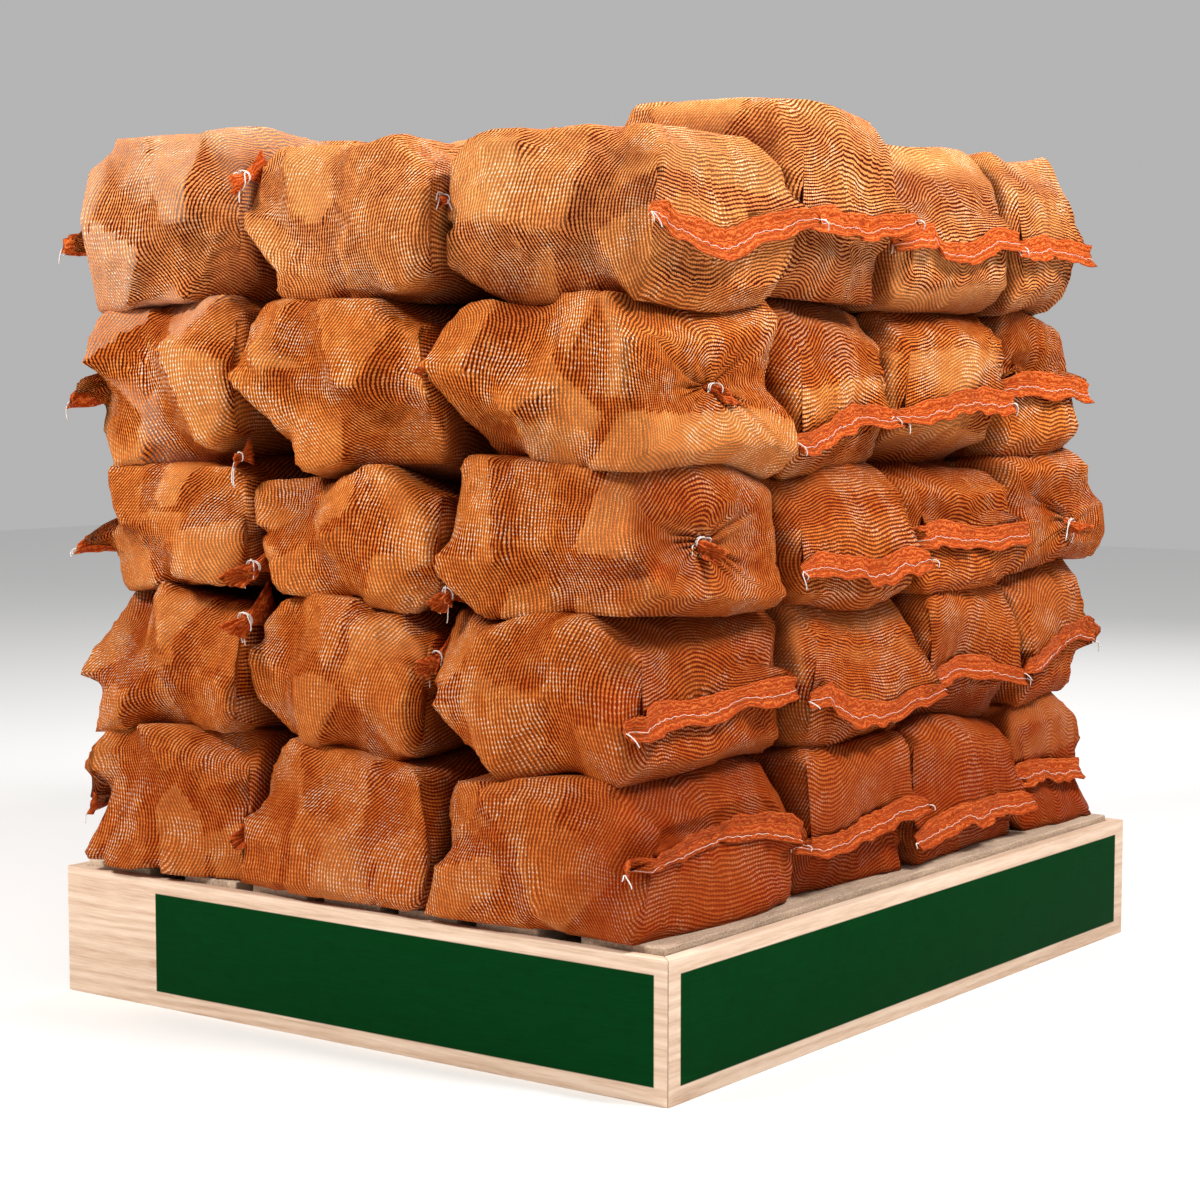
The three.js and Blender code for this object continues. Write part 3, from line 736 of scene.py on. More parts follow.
def foldRelief(bag, loop, ringSides, ringShares):
    # pleats round a mouth, gathers at a hem, and creases all over
    seed = bagSeed(bag, 1000)
    y, z = loop[:, 0], loop[:, 1]
    turn = np.arange(len(loop)) / len(loop)
    length = np.cumsum(np.full(len(ringSides), net["ringPitch"]))[:, None]
    around = np.broadcast_to(turn, (len(ringSides), len(loop)))
    crumple = ripple(around, length, seed, 0.05, 0.12) + 0.3 * ripple(around, length, seed + 1, 0.02, 0.045)
    relief = net["crumple"] * crumple
    relief += net["creases"] * folds(around, length, seed + 2)
    for side in (1, -1):
        near = np.where(ringSides == side, ringShares, 0)[:, None]
        if endShape(bag, side)[1]:
            bend = 2 * np.sin(math.tau * turn * 3 + seed)
            wave = np.sin(math.tau * net["pleats"] * turn + 5 * near + bend)
            relief += net["pleatDepth"] * near ** 0.8 * wave
        else:
            gather = y / 2 + 0.15 * np.sin(3 * y + seed)
            wave = np.sin(math.tau * net["gathers"] * gather + 3 * near * z)
            relief += net["gatherDepth"] * near ** 1.4 * wave * (np.abs(z) > 0.99) * (1 - y ** 4)
    return relief


def pickTone(tones, scatter):
    return tones[int(abs(scatter) * len(tones))]


def logTones(bag, count):
    # the colours of each log, on its sides and on its ends
    tones = []
    for index in range(count):
        isBark = vary(bag, "bark", index) > 0.25
        side = pickTone(logs["barks"] if isBark else logs["woods"], vary(bag, "tone", index))
        end = pickTone(logs["woods"], vary(bag, "endTone", index))
        if bag in bleachedBags and vary(bag, "bleach", index) > -0.5:
            side = end = pickTone(logs["bleached"], vary(bag, "tone", index))
        tones.append((side, end))
    return np.array(tones)


def withEnds(values):
    return np.concatenate([values[:1], values, values[-1:]])


def bagNet(bag, up, alongSteps, endRings, bodyRings):
    # the points of the net, its slack, the colour of what lies behind it, and its two closing loops
    normals, distances, centre, half = placePlanes(bag)
    room = half - (net["offset"] + net["endRoom"], net["offset"], net["offset"])
    room[2] = stack["press"] * half[2] - net["offset"]
    bundle = splitLogs(bag, room)
    outerSides = (bag[1] == columns - 1, bag[1] == 0, bag[2] == rows - 1, bag[2] == 0)
    for plane, isOuter in enumerate(outerSides):
        if isOuter:
            distances[plane] += net["proud"]
            if plane > 1:
                # the two bevels of that end
                distances[2 + 2 * plane:4 + 2 * plane] += net["proud"]
    distances[4] += net["pressed"]
    distances[5] += net["pressed"] * (bag[0] > 0)
    solids = (bundle, normals, distances)

    # the rings: out from one closing loop, along the body, and in to the other one
    loop = loopPoints(up, alongSteps)
    aims, sides, shares, closings = [], [], [], []
    for side in (1, -1):
        low, closing = closingLoop(bag, side, half, loop, solids)
        closings.append(closing)
        rings = endRings[0 if endShape(bag, side)[0] else 1]
        steps = np.arange(1, rings + 1) / rings
        if side < 0:
            steps = steps[::-1][1:]
        for share in steps:
            aims.append(crossAims(side, low * (1 - share) + loop * share, half))
            sides.append(side)
            shares.append(1 - share)
        if side > 0:
            for place in np.linspace(1, -1, bodyRings + 1)[1:]:
                aims.append(crossAims(place, loop, half))
                sides.append(0)
                shares.append(0)

    start, along, held, most, log, isEnd = castRays(np.array(aims), *solids)
    held = held + net["offset"]
    out = relaxed(start, along, held, held, most, *closings, net["rounds"])
    slack = np.clip(out - held, 0, net["slackMost"])
    out = relaxed(start, along, out, held - net["give"], most, *closings, 1)
    relief = foldRelief(bag, loop, np.array(sides), np.array(shares))
    out = np.minimum(most, np.maximum(held - net["give"], out + relief))
    points = np.concatenate([closings[0][None], start + along * out[..., None], closings[1][None]])

    wood = withEnds(logTones(bag, len(bundle))[log, isEnd.astype(int)])
    for _ in range(2):
        around = np.roll(wood, 1, 1)[1:-1] + np.roll(wood, -1, 1)[1:-1]
        wood[1:-1] = (2 * wood[1:-1] + wood[:-2] + wood[2:] + around) / 6
    return points + centre, withEnds(slack), wood, closings, centre, half


# The whole stack has slumped a little: one smooth field moves every bag, so no seam stays straight.
slump = {
    "reach": 0.0065,
    "finest": 0.20,
    "coarsest": 0.50,
    "waves": 12,
    "seed": 71,
    "settled": 0.10,  # points lower than this over the deck move up and down less
    "spread": 0.012,  # how far the lowest bags spread on the deck, and from where
    "spreadFrom": (0.30, 0.42),
}


def slumped(points):
    scatter = np.random.default_rng(slump["seed"])
    moved = np.zeros_like(points)
    for axis in range(3):
        for _ in range(slump["waves"]):
            way = scatter.normal(size=3)
            length = scatter.uniform(slump["finest"], slump["coarsest"])
            way *= math.tau / (np.linalg.norm(way) * length)
            moved[:, axis] += np.sin(points @ way + scatter.uniform(0, math.tau))
    moved *= slump["reach"] / math.sqrt(slump["waves"] / 2)
    deck = stack["tierFloors"][0]
    low = np.clip((points[:, 2] - deck) / slump["settled"], 0, 1)
    moved[:, 2] *= low
    spread = slump["spread"] * (1 - low) ** 2
    isOutside = np.abs(points[:, :2]) > slump["spreadFrom"]
    moved[:, :2] += np.sign(points[:, :2]) * spread[:, None] * isOutside
    return points + moved


def placed(name, data):
    made = bpy.data.objects.new(name, data)
    bpy.context.scene.collection.objects.link(made)
    return made


# A Pile gathers grids of points into one mesh, with the materials of a bag.
class Pile:
    def __init__(self, name):
        self.name = name
        self.points, self.faces, self.places, self.slots = [], [], [], []
        self.slack, self.deep, self.wood = [], [], []
        self.count = 0

    def add(self, points, slack=None, deep=None, wood=None):
        points = points.reshape(-1, 3)
        first = self.count
        self.count += len(points)
        self.points.append(points)
        self.slack.append(np.zeros(len(points)) if slack is None else slack.reshape(-1))
        self.deep.append(np.zeros(len(points)) if deep is None else deep.reshape(-1))
        self.wood.append(np.full((len(points), 3), 0.3) if wood is None else wood.reshape(-1, 3))
        return first

    def face(self, numbers, places, slot):
        kept = [k for k in range(len(numbers)) if numbers[k] != numbers[k - 1]]
        if len(kept) > 2:
            self.faces.append([numbers[k] for k in kept])
            self.places.extend(places[k] for k in kept)
            self.slots.append(slot)

    def grid(self, numbers, across, along, slot):
        # faces between rows of point numbers, the last column meeting the first one
        size = numbers.shape[1]
        for i in range(numbers.shape[0] - 1):
            for j in range(size):
                k = (j + 1) % size
                corners = [numbers[i][j], numbers[i + 1][j], numbers[i + 1][k], numbers[i][k]]
                near = [(across[j], along[i][j]), (across[j], along[i + 1][j])]
                far = [(across[j + 1], along[i + 1][k]), (across[j + 1], along[i][k])]
                self.face(corners, near + far, slot)

    def fan(self, tip, ring, slot, isFlipped):
        for j in range(len(ring)):
            pair = [ring[j], ring[(j + 1) % len(ring)]]
            self.face([tip, *(pair[::-1] if isFlipped else pair)], [(0, 0)] * 3, slot)

    def tube(self, rings, slot):
        # a tube through rings of points, closed at both ends
        rings = np.asarray(rings)
        count, size = rings.shape[:2]
        numbers = self.add(rings) + np.arange(count * size).reshape(count, size)
        self.grid(numbers, np.linspace(0, 1, size + 1), np.zeros((count, size)), slot)
        tips = self.add(np.array([rings[0].mean(0), rings[-1].mean(0)]))
        self.fan(tips, numbers[0], slot, False)
        self.fan(tips + 1, numbers[-1], slot, True)

    def build(self):
        mesh = bpy.data.meshes.new(self.name)
        mesh.from_pydata(slumped(np.concatenate(self.points)).tolist(), [], self.faces)
        layer = mesh.uv_layers.new(name="net")
        layer.data.foreach_set("uv", np.array(self.places, np.float32).ravel())
        for name, values in (("slack", self.slack), ("deep", self.deep)):
            attribute = mesh.attributes.new(name, "FLOAT", "POINT")
            attribute.data.foreach_set("value", (np.concatenate(values) * 100).astype(np.float32))
        wood = mesh.attributes.new("wood", "FLOAT_COLOR", "POINT")
        colours = np.concatenate(self.wood)
        colours = np.column_stack([colours, np.ones(len(colours))])
        wood.data.foreach_set("color", colours.astype(np.float32).ravel())
        for material in (netCloth, foldedNet, whiteString):
            mesh.materials.append(material)
        mesh.polygons.foreach_set("material_index", self.slots)
        mesh.polygons.foreach_set("use_smooth", [True] * len(self.faces))
        mesh.update()
        return placed(self.name, mesh)


def addNet(pile, bag, up, alongSteps, endRings, bodyRings):
    points, slack, wood, closings, centre, half = bagNet(bag, up, alongSteps, endRings, bodyRings)
    count, size = points.shape[:2]
    left, right, front, back = stack["tierFaces"][bag[0]]
    # how deep each point lies in the stack, which the net's colour turns into painted shade in the seams
    deep = np.minimum(points[..., :2] - (left, front), (right, back) - points[..., :2]).min(-1)
    if bag[0] == tiers - 1:
        deep = np.minimum(deep, centre[2] + half[2] - points[..., 2])
    first = pile.add(points, slack, np.clip(deep, 0, net["deepMost"]), wood)
    numbers = first + np.arange(count * size).reshape(count, size)
    mouths = []
    for ring, side in ((0, 1), (-1, -1)):
        if endShape(bag, side)[1]:
            mouths.append((ring, side))
        else:
            # the hem closes on itself: both of its sides use the points of the top
            numbers[ring] = numbers[ring][hemOrder(up, alongSteps)[hemIndex(up, alongSteps)]]
    # the ribs are counted along the net, smoothed round the bag and made a little wavy
    steps = np.linalg.norm(np.diff(points, axis=0), axis=-1)
    along = np.concatenate([np.zeros((1, size)), np.cumsum(steps, 0)])
    kept = np.arange(size // 2 + 1) < netLook["ribTerms"]
    smooth = np.fft.irfft(np.fft.rfft(along, axis=1) * kept, n=size, axis=1)
    turn = np.arange(size) / size
    smooth = smooth + netLook["ribWander"] * ripple(turn, smooth, bagSeed(bag, 2000), 0.12, 0.4, 6)
    across = np.linspace(0, netLook["crossThreads"], size + 1)
    pile.grid(numbers, across, smooth / netLook["rib"], 0)
    for ring, side in mouths:
        tip = pile.add(points[ring].mean(0)[None] + (side * net["mouthTip"], 0, 0))
        pile.fan(tip, numbers[ring], 0, side < 0)
    return closings, centre, half


# What closes a bag: the hem band with its stitching, loose ends of string, and the frill at a mouth.
hem = {
    "width": 0.033,
    "thickness": 0.0028,
    "stations": 52,
    "section": [  # across the band from edge to edge, and out of its middle
        (-1, 0.2), (-0.9, 1.2), (-0.55, 1.0), (-0.45, 1.7), (0.05, 1.5), (0.2, 0.9),
        (0.75, 1.3), (1, 0.3), (0.95, -1), (0.0, -1), (-0.95, -1),
    ],
    "seamPoint": 3,  # the point of the section that carries the seam
    "tip": (0.002, 0.006, -0.003),  # how far the band runs past the closing line
    "tipShare": 1.08,
    "offCentre": 0.32,  # how much of the width the band hangs below the line, or stands above it
    "rayRoom": 0.08,  # how far outside the bag the rays that look for its net start
    "sunk": 0.004,  # how deep the net is taken to lie where a ray misses it
    "ruffle": 0.0048,
    "flare": 0.0075,  # how far the free edge stands out
    "stitch": 0.0003,
    "stitchSides": 4,
    "zigzag": 0.0007,
}
string = {"radius": 0.0008, "sides": 5, "steps": 14}
frill = {
    "neck": 0.0075,
    "length": 0.023,
    "points": 44,
    "ruffles": 6,
    "profile": [  # along the frill from its tie, and how wide, as shares of length and neck
        (-1.4, 3.0), (-0.9, 2.1), (-0.4, 1.3), (0.0, 0.9), (0.15, 0.8), (0.4, 1.0),
        (0.7, 1.25), (1.0, 1.4), (1.04, 1.2), (0.75, 0.9), (0.45, 0.4),
    ],
    "droop": 0.25,
    "pinch": 0.18,  # what is left of its width at the base, squeezed between two bags
    "peekDepth": 0.022,  # how far behind the front of its bag a mouth in a gap is tied
}


def between(points, places):
    # points at any place along a row of them
    return np.stack([np.interp(places, np.arange(len(points)), points[:, axis]) for axis in range(3)], -1)


def tubeRings(path, radius, sides):
    run = np.gradient(path, axis=0)
    run /= np.linalg.norm(run, axis=1, keepdims=True)
    out = np.cross(run, (0.31, 0.23, 0.92))
    out /= np.linalg.norm(out, axis=1, keepdims=True)
    other = np.cross(run, out)
    turns = np.linspace(0, math.tau, sides, endpoint=False)[None, :, None]
    return path[:, None] + radius * (np.cos(turns) * out[:, None] + np.sin(turns) * other[:, None])


def looseEnd(pile, start, outward, length, seed):
    # a tail of string that springs out and droops
    scatter = np.random.default_rng(seed)
    side = np.cross(outward, (0, 0, 1))
    lean = scatter.uniform(-1, 1)
    steps = np.linspace(0, 1, string["steps"])[:, None]
    bend = np.sin(steps * scatter.uniform(2.0, 4.2) + scatter.uniform(0, 2)) * 0.3 * length
    path = start + outward * (0.35 * length * np.sin(steps * 2.2))
    path = path + side * (lean * length * 0.6 * steps + bend * 0.5)
    droop = steps ** 1.5 * length * scatter.uniform(0.2, 0.9)
    path = path + np.array([0, 0, -1.0]) * droop + np.array([0, 0, 0.2]) * bend
    pile.tube(tubeRings(path, string["radius"], string["sides"]), 2)


def addHem(pile, bag, side, closing, centre, half):
    # the band lies on the end of the bag and keeps to its closing line
    line = closing[hemOrder(*net["fine"][:2])] + centre
    spine = between(line, np.linspace(0, len(line) - 1, hem["stations"]))
    x, y, z = hem["tip"]
    ends = spine[[0, -1]] + np.array([[side * x, y, z], [side * x, -y, z]])
    spine = np.concatenate([ends[:1], spine, ends[1:]])
    share = np.linspace(1, -1, hem["stations"])
    share = np.concatenate([[hem["tipShare"]], share, [-hem["tipShare"]]])
    flip = -1 if vary(bag, "hemSide") < 0.6 else 1
    seed = bagSeed(bag, 3007 if side > 0 else 3000)
    taper = 1 - 0.45 * np.clip((np.abs(share) - 0.8) / 0.28, 0, 1)
    width = hem["width"] * taper * (1 + 0.12 * ripple(share * 0.5, share, seed, 0.3, 0.9, 5))
    tilt = 0.2 * ripple(share * 0.5, share, seed + 1, 0.5, 1.2, 5)
    down = np.stack([np.zeros_like(tilt), np.sin(tilt), np.cos(tilt)], -1)
    middle = spine + down * (flip * hem["offCentre"] * width)[:, None]

    # how far the net stands out behind each station
    shell = BVHTree.FromPolygons(np.concatenate(pile.points).tolist(), pile.faces)
    lift = []
    for i in range(len(spine)):
        found = []
        for across in (-1, 0, 1):
            spot = middle[i] + down[i] * across * width[i] / 2
            start = Vector((centre[0] + side * (half[0] + hem["rayRoom"]), spot[1], spot[2]))
            hit = shell.ray_cast(start, Vector((-side, 0, 0)), 2 * hem["rayRoom"])[0]
            found.append(side * hit.x if hit else side * spine[i, 0] - hem["sunk"])
        lift.append(max(found))
    softened = np.convolve(np.pad(lift, 1, mode="edge"), np.ones(3) / 3, "valid")
    lift = np.maximum(lift, softened) + 0.001 + hem["thickness"] / 2

    ruffle = ripple(share * 0.5, share, seed + 2, 0.10, 0.3, 7)
    rings = []
    for i in range(len(spine)):
        ring = []
        for across, out in hem["section"]:
            curl = hem["ruffle"] * (0.5 + 0.5 * ruffle[i] * across) * across * across
            flare = hem["flare"] * max(0, flip * across) ** 2
            x = side * (lift[i] + out * hem["thickness"] / 2 + max(0, curl) + flare)
            ring.append([x, *(middle[i] + down[i] * across * width[i] / 2)[1:]])
        rings.append(ring)
    rings = np.array(rings)
    pile.tube(rings if side < 0 else rings[:, ::-1], 1)

    # the stitching runs along the band, then hangs loose
    steps = np.arange(0, len(spine) - 1, 1 / 3)
    seam = between(rings[:, hem["seamPoint"]], steps)
    seam[:, 0] += side * (0.0002 + 0.0004 * np.sin(np.arange(len(seam)) * 0.83))
    seam[:, 2] += hem["zigzag"] * np.sin(steps * 2.1) - flip * 0.1 * hem["width"]
    pile.tube(tubeRings(seam, hem["stitch"], hem["stitchSides"]), 2)
    for end, point, way in ((0, seam[0], 1), (1, seam[-1], -1)):
        outward = np.array([side * 0.8, way * 0.5, 0.1])
        for number in range(2):
            if vary(bag, "tail", 4 * end + number + side) > -0.3:
                length = 0.016 + 0.012 * abs(vary(bag, "tailLength", number + end))
                looseEnd(pile, point, outward, length, seed + 11 + number + 5 * end)


def addFrill(pile, centre, outward, size, seed, strings=3, pinch=1.0):
    # the gathered mouth past its tie, with string wound round the neck
    scatter = np.random.default_rng(seed)
    outward = np.array(outward, float) / np.linalg.norm(outward)
    side = np.cross(outward, (0.1, 0.2, 1.0))
    side /= np.linalg.norm(side)
    other = np.cross(outward, side)
    neck = frill["neck"] * size
    turns = np.linspace(0, math.tau, frill["points"], endpoint=False)
    phase = scatter.uniform(0, math.tau, 3)
    rings = []
    for along, wide in frill["profile"]:
        waves = np.sin(frill["ruffles"] * turns + phase[0]) + np.sin(9 * turns + phase[1])
        radius = neck * wide * (1 + 0.12 * min(1, abs(along)) * waves)
        lip = 0.45 * np.sin(turns + phase[2]) + 0.10 * np.sin(3 * turns + phase[0])
        out = frill["length"] * size * (along + max(0, along) * lip)
        across = radius * (1 - (1 - pinch) * min(1, max(0, -2 * along))) * np.cos(turns)
        up = radius * np.sin(turns)
        rings.append(centre + outward * out[:, None] + side * across[:, None] + other * up[:, None])
    rings = np.array(rings)
    droop = frill["droop"] * np.linspace(0, 1, len(rings)) * frill["length"] * size
    rings[:, :, 2] -= droop[:, None]
    pile.tube(rings, 1)
    wind = np.linspace(0, math.tau * 1.1, 22)[:, None]
    for number in range(2):
        radius = neck * (0.98 + 0.1 * number)
        ring = centre + outward * (0.003 + 0.0022 * number) * size
        ring = ring + side * (radius * np.cos(wind)) + other * (radius * np.sin(wind))
        ring = ring + outward * 0.0006 * np.sin(3 * wind)
        pile.tube(tubeRings(ring, string["radius"], string["sides"]), 2)
    for number in range(strings):
        turn = scatter.uniform(0, math.tau)
        start = centre + outward * 0.006 + (side * math.cos(turn) + other * math.sin(turn)) * neck * 1.1
        away = (outward + side * math.cos(turn) + other * math.sin(turn)) * 0.5
        looseEnd(pile, start, away, 0.02 + 0.014 * scatter.uniform(), seed + 30 + number)


# Mouths that peek out between the columns at the front, by tier and the column to their right: the
# height above the tier's floor and the size.
peeking = {
    (0, 1): (0.075, 1.2),
    (1, 1): (0.155, 1.3),
    (1, 2): (0.145, 1.2),
    (2, 1): (0.035, 1.3),
    (2, 2): (0.030, 1.1),
    (3, 1): (0.020, 0.65),
    (3, 2): (0.125, 1.1),
    (4, 1): (0.165, 1.1),
    (4, 2): (0.120, 0.7),
}


def closeBag(pile, bag, closings, centre, half):
    tier, column, row = bag
    for side, closing in zip((1, -1), closings):
        outer, mouth = endShape(bag, side)
        if outer and mouth:
            tie = closing.mean(0) + centre + (side * 0.001, 0, 0)
            outward = (side, 0.3 * vary(bag, "mouthTurn"), -0.35)
            addFrill(pile, tie, outward, 1.0, 4000 + 10 * tier + row, strings=4)
        elif outer:
            addHem(pile, bag, side, closing, centre, half)
    if row == 0 and (tier, column) in peeking:
        height, size = peeking[(tier, column)]
        left, front = (centre - half)[:2]
        tie = np.array([left, front + frill["peekDepth"], stack["tierFloors"][tier] + height])
        outward = (0.15 * vary(bag, "peekTurn"), -1, -0.3)
        addFrill(pile, tie, outward, size, 5000 + 10 * tier + column, pinch=frill["pinch"])


for tier in range(tiers):
    for column in range(columns):
        for row in range(rows):
            if tier < tiers - 1 and isMiddle(column, row):
                continue
            bag = (tier, column, row)
            name = f"tier{tier + 1}_col{column + 1}_row{row + 1}"
            pile = Pile(f"net_{name}")
            closeBag(pile, bag, *addNet(pile, bag, *net["fine"]))
            made = pile.build()
            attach(made, "root")
            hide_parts(f"log_bag_{name}")
    print("tier", tier + 1, "of the bags is laid")

# the eight bags in the middle, seen only through the gaps
pile = Pile("net_middle")
for tier in range(tiers - 1):
    for row in (1, 2):
        addNet(pile, (tier, 1, row), *net["coarse"])
made = pile.build()
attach(made, "root")
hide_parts("middle_bags")
print("the middle bags are laid")


# The boards of the surround: pale pine with a plain green panel on each outer face.
board = {
    "height": 0.172,
    "thickness": 0.018,
    "round": 0.0012,
    "panelLow": 0.021,
    "panelHigh": 0.153,
    "frontPanel": (-0.33, 0.48),
    "sidePanel": (-0.575, 0.572),
    "panelEdge": 0.0009,
    "panelDepth": 0.002,
    "green": (0.0003, 0.030, 0.0048),
    "greenLight": (0.0010, 0.046, 0.009),
    "greenDark": (0.0005, 0.016, 0.003),
    "pine": [(0.28, (0.50, 0.33, 0.225)), (0.5, (0.66, 0.485, 0.36)), (0.72, (0.76, 0.61, 0.48))],
    "knots": (0.42, 0.22, 0.11),
}


def pinePaint(name, axis, panel):
    # axis is the one that the grain follows, panel the reach of the green along it
    paint = Paint(name)
    place = paint.place()
    parts = paint.split(place)
    along, up, facing = parts[axis], parts[2], parts[1 - axis]

    def drawnOut(scale, share):
        return paint.stretched(place, tuple(scale * (share if k == axis else 1) for k in range(3)))

    def past(value, level):
        return paint.step(value, level - board["panelEdge"], level + board["panelEdge"])

    fibre = paint.noise(drawnOut(14, 0.06), 22.0, 4.0, 0.65)
    wander = paint.noise(drawnOut(2, 0.06), 6.0)
    ring = paint.wave("SINE", up * 52 + wander * 7) * 0.5 + 0.5
    tone = paint.noise(place, 3.2)
    pine = paint.ramp(fibre * 0.62 + ring * 0.16 + tone * 0.22, board["pine"])
    spots = paint.node("ShaderNodeTexVoronoi", {}, {"Vector": drawnOut(1, 0.45), "Scale": 9.0})
    knot = 1 - paint.step(spots, 0.03, 0.09)
    pine = paint.blend(knot * 0.55, pine, board["knots"])
    inside = past(along, panel[0]) * (1 - past(along, panel[1]))
    inside = inside * past(up, board["panelLow"]) * (1 - past(up, board["panelHigh"]))
    outer = cadBox[1][1 - axis] - board["panelDepth"]
    inside = inside * paint.step(paint.maths("ABSOLUTE", facing), outer - 0.0004, outer)
    green = paint.blend(paint.step(fibre, 0.35, 0.75) * 0.35, board["green"], board["greenLight"])
    cloud = paint.step(paint.noise(place, 55.0, 3.0), 0.45, 0.8)
    green = paint.blend(cloud * 0.25, green, board["greenDark"])
    roughness = 0.74 - inside * 0.04 + fibre * 0.1
    return paint.finish(paint.blend(inside, pine, green), roughness, fibre * 0.8 + ring * 0.2, 0.0004, 0.03)


def bevelled(name, solids, material, node, width):
    # boxes and boards joined in one mesh, each edge a little rounded
    points, faces = [], []
    for corners, sides in solids:
        faces += [[number + len(points) for number in side] for side in sides]
        points += corners
    mesh = bpy.data.meshes.new(name)
    mesh.from_pydata(points, [], faces)
    mesh.materials.append(material)
    made = placed(name, mesh)
    rounding = made.modifiers.new("rounding", "BEVEL")
    rounding.width = width
    rounding.segments = 3
    rounding.limit_method = "ANGLE"
    bpy.context.view_layer.objects.active = made
    made.select_set(True)
    bpy.ops.object.modifier_apply(modifier="rounding")
    made.select_set(False)
    made.data.polygons.foreach_set("use_smooth", [True] * len(made.data.polygons))
    made.data.set_sharp_from_angle(angle=0.6)
    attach(made, "root")
    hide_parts(node)


def prism(outline, low, high):
    sides = [[3, 2, 1, 0], [4, 5, 6, 7], [0, 1, 5, 4], [1, 2, 6, 5], [2, 3, 7, 6], [3, 0, 4, 7]]
    return [(x, y, level) for level in (low, high) for x, y in outline], sides


def slab(width, length, height, x, y, floor):
    w, l = width / 2, length / 2
    return prism([(x - w, y - l), (x + w, y - l), (x + w, y + l), (x - w, y + l)], floor, floor + height)


def turned(point, quarter):
    x, y = point
    for _ in range(quarter):
        x, y = -y, x
    return x, y


pine = [
    pinePaint("pine_short_side", 0, board["frontPanel"]),
    pinePaint("pine_long_side", 1, board["sidePanel"]),
]
for quarter, side in enumerate(("front", "right", "back", "left")):
    low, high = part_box(f"surround_{side}")
    axis = quarter % 2
    w, t = (high[axis] - low[axis]) / 2, board["thickness"]
    outer = max(abs(low[1 - axis]), abs(high[1 - axis]))
    corners = ((-w, -outer), (w, -outer), (w - t, -outer + t), (-w + t, -outer + t))
    solid = prism([turned(corner, quarter) for corner in corners], 0, board["height"])
    name = f"surround_board_{side}"
    bevelled(name, [solid], pine[axis], f"surround_{side}", board["round"])
print("the surround stands")


# The pallet: weathered boards on cross boards, blocks and base boards.
pallet = {
    "thickness": 0.022,
    "edgeBoard": 0.120,
    "innerBoard": 0.095,
    "innerBoards": 5,
    "crossBoard": 0.100,
    "block": (0.0995, 0.145),
    "baseBoard": 0.100,
    "round": 0.0025,
    "wood": [
        (0.22, (0.13, 0.082, 0.050)),
        (0.42, (0.36, 0.25, 0.17)),
        (0.60, (0.55, 0.41, 0.29)),
        (0.85, (0.70, 0.56, 0.42)),
    ],
    "dust": (0.78, 0.64, 0.50),
    "dirt": (0.09, 0.055, 0.032),
}


def deckPaint():
    paint = Paint("weathered_pallet_wood")
    place = paint.place()
    x, _, _ = paint.split(place)
    fibre = paint.noise(paint.stretched(place, (16.0, 0.9, 16.0)), 16.0, 5.0, 0.7)
    speckle = paint.noise(place, 520.0, 3.0, 0.7)
    patch = paint.noise(place, 7.0, 3.0, 0.6)
    # bands of tone, each about as wide as a board
    tone = paint.maths("FRACT", paint.maths("FLOOR", x * 6.9 + 0.5) * 0.37) * 0.25
    wood = paint.ramp(fibre * 0.5 + patch * 0.32 + tone, pallet["wood"])
    wood = paint.blend(paint.step(speckle, 0.50, 0.72) * 0.65, wood, pallet["dust"])
    wood = paint.blend(paint.step(1 - speckle, 0.55, 0.72) * 0.5, wood, pallet["dirt"])
    return paint.finish(wood, 0.9 - fibre * 0.12, fibre * 0.7 + speckle * 0.3, 0.0012)


weathered = deckPaint()
low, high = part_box("pallet_deck")
width, length, top = high[0] - low[0], high[1] - low[1], high[2]
thick, edge, inner, cross = [pallet[key] for key in ("thickness", "edgeBoard", "innerBoard", "crossBoard")]
deckFloor = top - thick
boards = [slab(edge, length, thick, side * (width - edge) / 2, 0, deckFloor) for side in (-1, 1)]
pitch = (width - edge - inner) / (pallet["innerBoards"] + 1)
for place in range(pallet["innerBoards"]):
    x = (place - (pallet["innerBoards"] - 1) / 2) * pitch
    boards.append(slab(inner, length, thick, x, 0, deckFloor))
for y in (-1, 0, 1):
    boards.append(slab(width, cross, thick, 0, y * (length - cross) / 2, deckFloor - thick))
bevelled("pallet_boards", boards, weathered, "pallet_deck", pallet["round"])

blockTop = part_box("pallet_base")[1][2]
block, base = pallet["block"], pallet["baseBoard"]
parts = []
for column in (-1, 0, 1):
    x = column * (width - base) / 2
    parts.append(slab(base, length, thick, x, 0, 0))
    for row in (-1, 0, 1):
        parts.append(slab(*block, blockTop - thick, x, row * (length - block[1]) / 2, thick))
bay = (width - 3 * base) / 2
for end in (-1, 1):
    for side in (-1, 1):
        parts.append(slab(bay, base, thick, side * (bay + base) / 2, end * (length - base) / 2, 0))
bevelled("pallet_blocks", parts, weathered, "pallet_base", pallet["round"])
print("the pallet is under the stack")


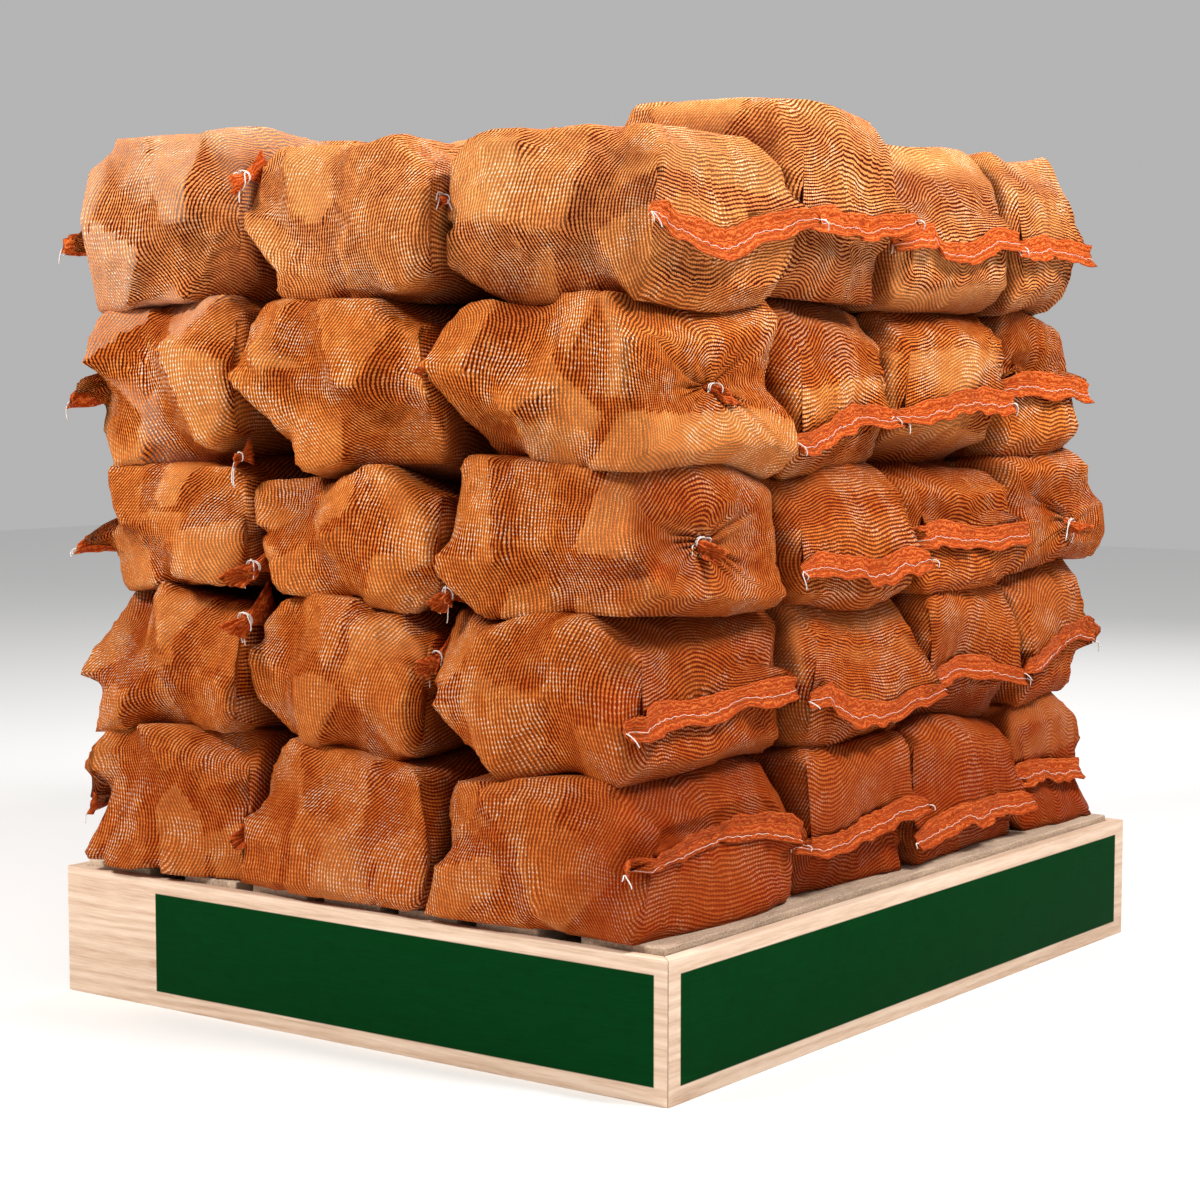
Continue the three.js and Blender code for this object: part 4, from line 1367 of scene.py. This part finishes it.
# Studio: a pale floor, soft light from the front left, and the camera at the photo's angle.
studio = {
    "cameraTurn": 36.335,
    "cameraRise": 4.82,
    "distance": 3.75,
    "pixelsPerUnit": 2631,  # at a distance of one, in a picture this wide
    "picture": 1200,
    "sensor": 36,
    "aimSide": -0.0307,
    "aimHeight": 0.5198,
    "lightAim": 0.55,
    "lights": [  # name, place, size, power and colour
        ("key_light", (-1.4, -3.0, 3.4), 0.8, 168, (1.0, 0.96, 0.92)),
        ("side_light", (2.0, 0.1, 2.9), 0.8, 112, (1.0, 0.97, 0.95)),
        ("back_light", (-1.0, 3.8, 3.0), 2.5, 50, (1.0, 1.0, 1.0)),
    ],
    "sky": 0.46,
    "floorReach": 9,
    "floorColour": (0.86, 0.86, 0.86),
}
far = studio["floorReach"]
floorMesh = bpy.data.meshes.new("studio_floor")
floorMesh.from_pydata([(-far, -far, 0), (far, -far, 0), (far, far, 0), (-far, far, 0)], [], [[0, 1, 2, 3]])
floorMesh.materials.append(Paint("pale_floor").finish((*studio["floorColour"], 1), 0.9))
floor = placed("studio_floor", floorMesh)

turn, rise = math.radians(studio["cameraTurn"]), math.radians(studio["cameraRise"])
toCamera = Vector((math.sin(turn) * math.cos(rise), -math.cos(turn) * math.cos(rise), math.sin(rise)))
target = Vector((studio["aimSide"] * math.cos(turn), studio["aimSide"] * math.sin(turn), studio["aimHeight"]))
cameraData = bpy.data.cameras.new("studio_camera")
cameraData.sensor_width = studio["sensor"]
cameraData.lens = studio["sensor"] * studio["pixelsPerUnit"] / studio["picture"]
camera = placed("studio_camera", cameraData)
camera.location = target + toCamera * studio["distance"]
camera.rotation_euler = (-toCamera).to_track_quat("-Z", "Y").to_euler()
bpy.context.scene.camera = camera

for name, place, size, power, colour in studio["lights"]:
    data = bpy.data.lights.new(name, "AREA")
    data.shape = "RECTANGLE"
    data.size = size
    data.size_y = size
    data.energy = power
    data.color = colour
    lamp = placed(name, data)
    lamp.location = place
    aim = Vector((0, 0, studio["lightAim"])) - Vector(place)
    lamp.rotation_euler = aim.to_track_quat("-Z", "Y").to_euler()

world = bpy.data.worlds.new("studio_world")
world.use_nodes = True
sky = world.node_tree.nodes["Background"].inputs
sky["Color"].default_value = (1.0, 1.0, 1.0, 1)
sky["Strength"].default_value = studio["sky"]
bpy.context.scene.world = world
bpy.context.scene.view_settings.view_transform = "Standard"
